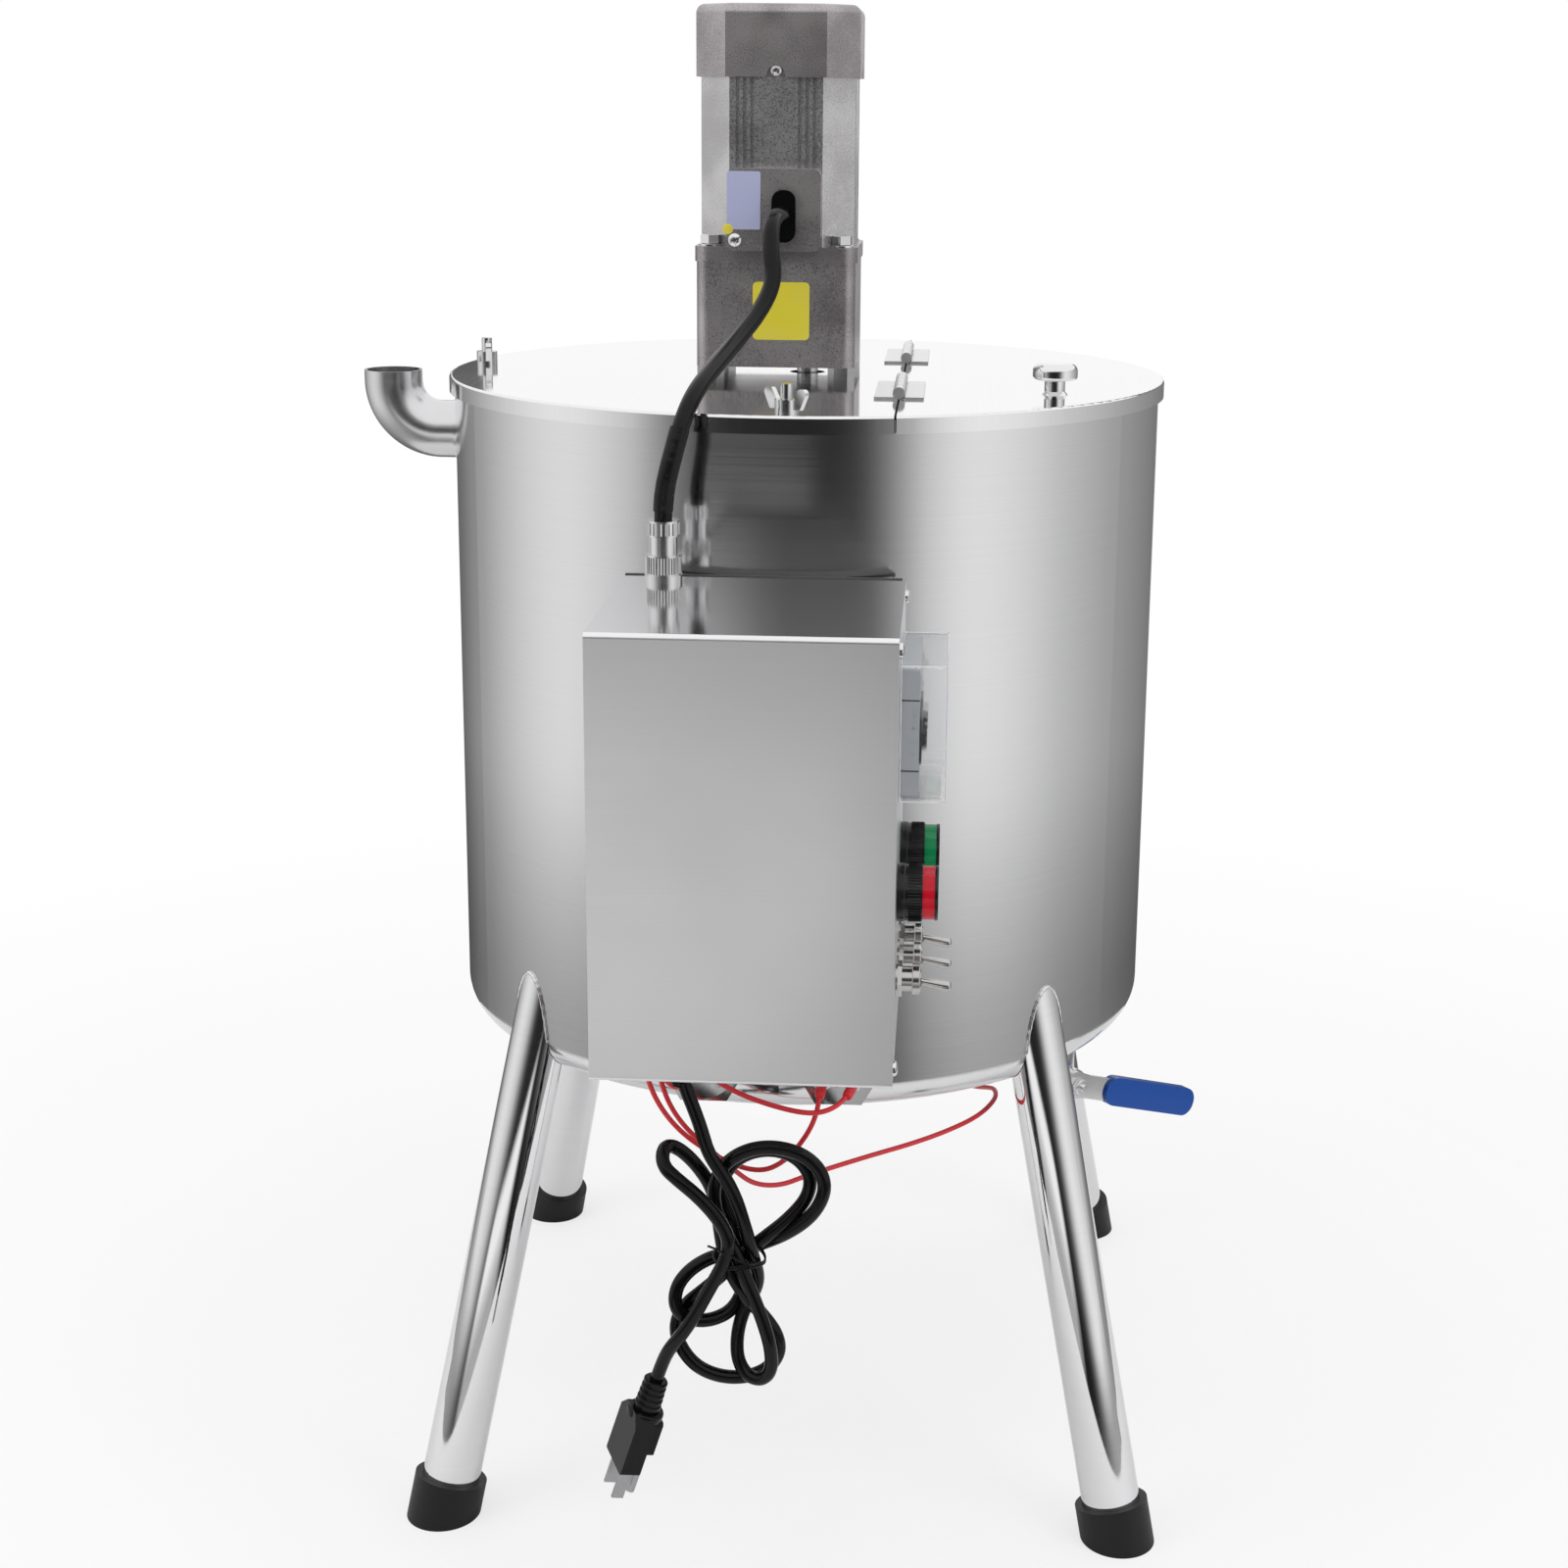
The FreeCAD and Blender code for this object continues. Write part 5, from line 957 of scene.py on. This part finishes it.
# %% [markdown]
# ## Where the lead leaves the box
# A tapered rubber boot keeps the lead from kinking at the gland. It follows the lead's first
# centimetres and has shallow rings moulded in. The plug's neck has rings of the same kind.

# %% Boot and rings
form = bmesh.new()
boot = [(0, 0)]
for step in range(6):
    low, r = 4.2 * step, 7.0 - 0.42 * step
    boot += [(r, low), (r, low + 2.6), (r - 0.9, low + 2.9), (r - 0.9, low + 4.0)]
boot += [(4.2, 25.6), (3.4, 26.2), (0, 26.2)]
lathe(form, boot, (-44, -270, 321.0), (0, 0, -1))
finished("lead_boot", form, lead_rubber)
PLUG_LEAN = math.radians(17.5)
PLUG_AXIS = Vector((-math.sin(PLUG_LEAN), 0, -math.cos(PLUG_LEAN)))
form = bmesh.new()
for step in range(5):
    low = 0.4 + 3.3 * step
    r = 5.6 + 0.048 * low
    lathe(form, [(0, low), (r + 0.25, low), (r + 0.7, low + 0.5), (r + 0.7, low + 1.9),
                 (r + 0.25, low + 2.4), (0, low + 2.4)], PLUG_TOP, PLUG_AXIS, steps=32)
finished("plug_neck_rings", form, lead_rubber)
print("boot and rings made")

# %% [markdown]
# ## The tie round the hank
# The folded lead is held by a short plastic-covered wire, wound twice and twisted together in
# front. It is made as a curve, then turned into a mesh, as it is a stiff little piece.

# %% Tie
def wire_mesh(name, route, radius, material):
    """A thin stiff wire as a mesh piece."""
    curve = cord_curve(name + "_path", route, radius * MM, material)
    form = bmesh.new()
    form.from_mesh(plain_mesh(curve))
    bpy.data.objects.remove(curve)
    return finished(name, form, material, sharp=80)


tie_route = []
for step in range(27):
    angle = 2 * math.pi * step / 12
    wobble = 1.2 * math.sin(3 * angle)
    tie_route.append((-14.5 + 13.5 * math.sin(angle), -269.6 - 13.2 * math.cos(angle),
                      202 + 2.6 * step / 26 + wobble))
for step in range(10):
    angle = 1.9 * step
    tie_route.append((-9 - 2.2 * step + 0.7 * math.cos(angle), -283.6 + 0.5 * math.sin(angle),
                      206 + 1.1 * step))
wire_mesh("hank_tie", tie_route, 0.55, lead_rubber)
tape_route = MOTOR_ROUTE[-4:-1] + [(-57, -218.5, 574)]
tape, tree, shader = new_material("cable_tape", (0.005, 0.005, 0.005), 0, 0.3,
                                  Specular_IOR_Level=0.25)
wraps = noise(tree, place_of(tree, (60, 60, 260), (0.5, 0, 0)), 1.0, 2)
gloss_between(tree, shader, wraps, 0.22, 0.4)
relief(tree, shader, wraps, 0.0006, 0.7)
wire_mesh("cable_tape_wrap", tape_route, CABLE_RADIUS + 0.5, tape)
print("tie and tape made")

# %% [markdown]
# ## Lamp fronts and the controller's face
# The lamps have a black rim round the lens. The controller's front has two blank fields and a dark
# window round its wheels. Its side has seams and a row of small studs.

# %% Controller face
def slab(form, low, high, soft=0.3):
    """A block with its edges towards +x eased, in millimetres."""
    (x0, y0, z0), (x1, y1, z1) = low, high
    loft(form, [ring_of(form, ((x, y0 + inset, z0 + inset), (x, y1 - inset, z0 + inset),
                               (x, y1 - inset, z1 - inset), (x, y0 + inset, z1 - inset)))
                for x, inset in ((x0, 0), (x1 - soft, 0), (x1, soft))])


form = bmesh.new()
slab(form, (71.4, -302, 505), (72.0, -245, 515))
slab(form, (71.4, -300, 459), (72.0, -247, 467))
finished("controller_fields", form, grey_plastic)
form = bmesh.new()
slab(form, (71.5, -300, 471), (72.6, -247, 493))
for z in (503.0, 469.5):
    slab(form, (62.6, -308.45, z), (71.6, -308.2, z + 0.6), 0.05)
finished("controller_seams", form, black_plastic)
form = bmesh.new()
for z in (496, 490, 484, 478):
    lathe(form, [(0, 0), (0.6, 0), (0.6, 0.12), (0, 0.2)], (68.6, -308.3, z), FRONT, steps=14)
for y in (-296, -251):
    lathe(form, [(0, 0), (2.2, 0), (2.2, 0.3), (1.8, 0.6), (0, 0.7)], (71.9, y, 510), RIGHT,
          steps=20)
finished("controller_studs", form, clear_plastic)
form = bmesh.new()
for place in WHEELS:
    lathe(form, [(0, -1.1), (6.3, -1.1), (6.7, -0.8), (6.7, 0.8), (6.3, 1.1), (0, 1.1)],
          place, steps=30)
for y in WHEEL_YS:
    lathe(form, [(0, 0), (5.6, 0), (5.6, 8.4), (0, 8.4)], (WHEEL_X, y, 476), steps=24)
wheels = finished("thumbwheel_sets", form, black_plastic)
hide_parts("thumbwheels")
print("controller face made")

# %% Painted highlights along the clear cover's edges
# Whitish beads along each edge of the clear cover are painted highlight: they stand for the light
# that the thick plastic edges catch.
cover_edge_highlight = smudged("cover_edge_highlight", (0.9, 0.92, 0.94), 0.12, 60, 2, 0.08, 0.2, Alpha=0.7)
cover_edge_highlight.surface_render_method = "DITHERED"
COVER = ((62.9, -309.6, 455.4), (84.1, -237.4, 519.6))
form = bmesh.new()
for first in [(x, y, z) for x in (0, 1) for y in (0, 1) for z in (0, 1)]:
    for axis in range(3):
        if first[axis] == 0:
            start = Vector([COVER[first[i]][i] for i in range(3)])
            span = COVER[1][axis] - COVER[0][axis]
            lathe(form, [(0, 0), (0.38, 0), (0.38, span), (0, span)], start,
                  [int(i == axis) for i in range(3)], steps=8)
finished("controller_cover_edges", form, cover_edge_highlight)
print("cover edges made")

# %% Lamp rims
form = bmesh.new()
for y in LAMP_YS:
    lathe(form, [(12.9, 0), (13.6, 0.1), (13.7, 0.6), (13.7, 3.2), (13.4, 3.6), (12.9, 3.6)],
          (62.6, y, LAMP_Z), RIGHT, steps=56)
    lathe(form, [(12.4, 0), (12.75, 0.05), (12.95, 0.5), (12.9, 1.3), (12.5, 1.6), (11.6, 1.6),
                 (11.4, 1.2)], (80.2, y, LAMP_Z), RIGHT, steps=56)
finished("lamp_rims", form, black_plastic)
print("lamp rims made")

# %% [markdown]
# ## Toggle nuts
# Each switch has a thick round dress nut near the end of its bush, besides the hexagon on the
# panel. Its profile is a ring, so it is turned like the others.

# %% Dress nuts
form = bmesh.new()
TOGGLE_Z = 367
for y in (-243.5, -273.75, -304.0):
    lathe(form, [(5.6, 0), (7.3, 0), (7.6, 0.4), (7.6, 3.3), (7.2, 3.8), (6.2, 3.9), (5.6, 3.5),
                 (5.6, 0)], (70.3, y, TOGGLE_Z), RIGHT, steps=36)
    lathe(form, [(6.1, 0), (8.8, 0), (8.8, 0.9), (6.1, 0.9), (6.1, 0)], (62.55, y, TOGGLE_Z),
          RIGHT, steps=36)
finished("toggle_dress_nuts", form, nickel)
print("dress nuts made")

# %% [markdown]
# ## Weld beads
# The legs are welded to the jacket. A weld is a row of small ripples along a seam. The seam of a
# leg is the line where its tube meets the wall, and it is found by halving the way to the wall's
# radius along each line of the tube's side.

# %% Weld seams
WALL = 200.0
LEG_TILT = math.radians(15)
LEG_RADIUS = 16.0
LEG_AT_FLOOR = 265
SEAM_LOWEST = 266
STAND_OUT = 0.4


def wall_seam(number):
    """Points where a leg's tube meets the upright wall, as far up as it does."""
    turn = Matrix.Rotation(math.radians(45 + 90 * number), 3, "Z")
    lean = Vector((-math.sin(LEG_TILT), 0, math.cos(LEG_TILT)))
    side = Vector((math.cos(LEG_TILT), 0, math.sin(LEG_TILT)))
    seam = []
    for step in range(-34, 35):
        angle = math.radians(2.6 * step)
        offset = (side * (LEG_RADIUS * math.cos(angle))
                  + Vector((0, LEG_RADIUS * math.sin(angle), 0)))
        low, high = 200.0, 420.0
        for halving in range(30):
            reach = (low + high) / 2
            point = Vector((LEG_AT_FLOOR, 0, 0)) + lean * reach + offset
            if math.hypot(point.x, point.y) > WALL + STAND_OUT:
                low = reach
            else:
                high = reach
        if point.z > SEAM_LOWEST:
            seam.append(turn @ point)
    return seam


def weld_mesh(name, seams, radius, material):
    """A rippled bead along each seam."""
    form = bmesh.new()
    for seam in seams:
        rings = []
        for i, point in enumerate(seam):
            last = len(seam) - 1
            ahead = (seam[min(i + 1, last)] - seam[max(i - 1, 0)]).normalized()
            out = Vector((point.x, point.y, 0)).normalized()
            across_it = ahead.cross(out).normalized()
            out = across_it.cross(ahead).normalized()
            size = radius * (1 + 0.16 * math.sin(2.1 * i)) * (0.4 if i in (0, last) else 1)
            rings.append(ring_of(form, [
                point + (across_it * math.cos(a) + out * math.sin(a)) * size
                for a in (2 * math.pi * k / 8 for k in range(8))]))
        loft(form, rings)
    return finished(name, form, material, sharp=70)


weld_mesh("leg_welds", [wall_seam(n) for n in range(4)], 0.9, bright_metal)
print("welds made")

# %% [markdown]
# ## The seam of the lid
# The two halves of the lid meet in a gap of a millimetre. Seen from above it is a dark line, as
# the cut edges face each other. A near-black strip set in the gap is painted shade that gives that
# line its darkness. A dark strip behind the top edge of the control box is painted shade too,
# where the gap between the box and the wall would otherwise show bright.

# %% Seam
# A near-black strip in the lid's gap: painted shade of the seam.
painted_seam_shade = smudged("painted_seam_shade", (0.006, 0.006, 0.006), 0.9, 40, 2, 0.82, 0.95,
                    Specular_IOR_Level=0.1)
SEAM_SHADE_HALF = 195.0
SEAM_SHADE_PROFILE = ((54.95, 617.5), (56.0, 617.5), (56.0, 619.3), (54.95, 619.3))
form = bmesh.new()
loft(form, [ring_of(form, [(x, y, z) for x, z in SEAM_SHADE_PROFILE]) for y in (-SEAM_SHADE_HALF, SEAM_SHADE_HALF)])
finished("lid_seam_lip", form, painted_seam_shade)
# A dark strip behind the box's top edge is painted shade: it darkens the gap between box and wall,
# which would show bright.
STRIP_LEFT, STRIP_LENGTH, STRIP_BACK = -77.5, 138, -198
form = bmesh.new()
rows = []
for step in range(29):
    x = STRIP_LEFT + STRIP_LENGTH * step / 28
    back = min(-math.sqrt(WALL ** 2 - x ** 2) - STAND_OUT, STRIP_BACK)
    rows.append(ring_of(form, [(x, y, z) for y, z in (
        (-204.9, 536.5), (back, 536.5), (back, 538.4), (-204.6, 539.9), (-207.6, 539.9),
        (-207.6, 539.4), (-204.9, 539.4))]))
loft(form, rows)
gap_shade_finish = moulded("painted_gap_shade", (0.05, 0.05, 0.05), 0.6)
finished("box_back_strip", form, gap_shade_finish)
print("seam and strip made")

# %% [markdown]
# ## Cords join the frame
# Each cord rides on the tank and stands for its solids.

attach(power_lead, "tank")
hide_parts("power_lead", "power_lead_hank", "power_lead_tail")
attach(motor_cable, "tank")
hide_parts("motor_cable")

for name, curve in wire_curves.items():
    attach(curve, "tank")
    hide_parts(name)
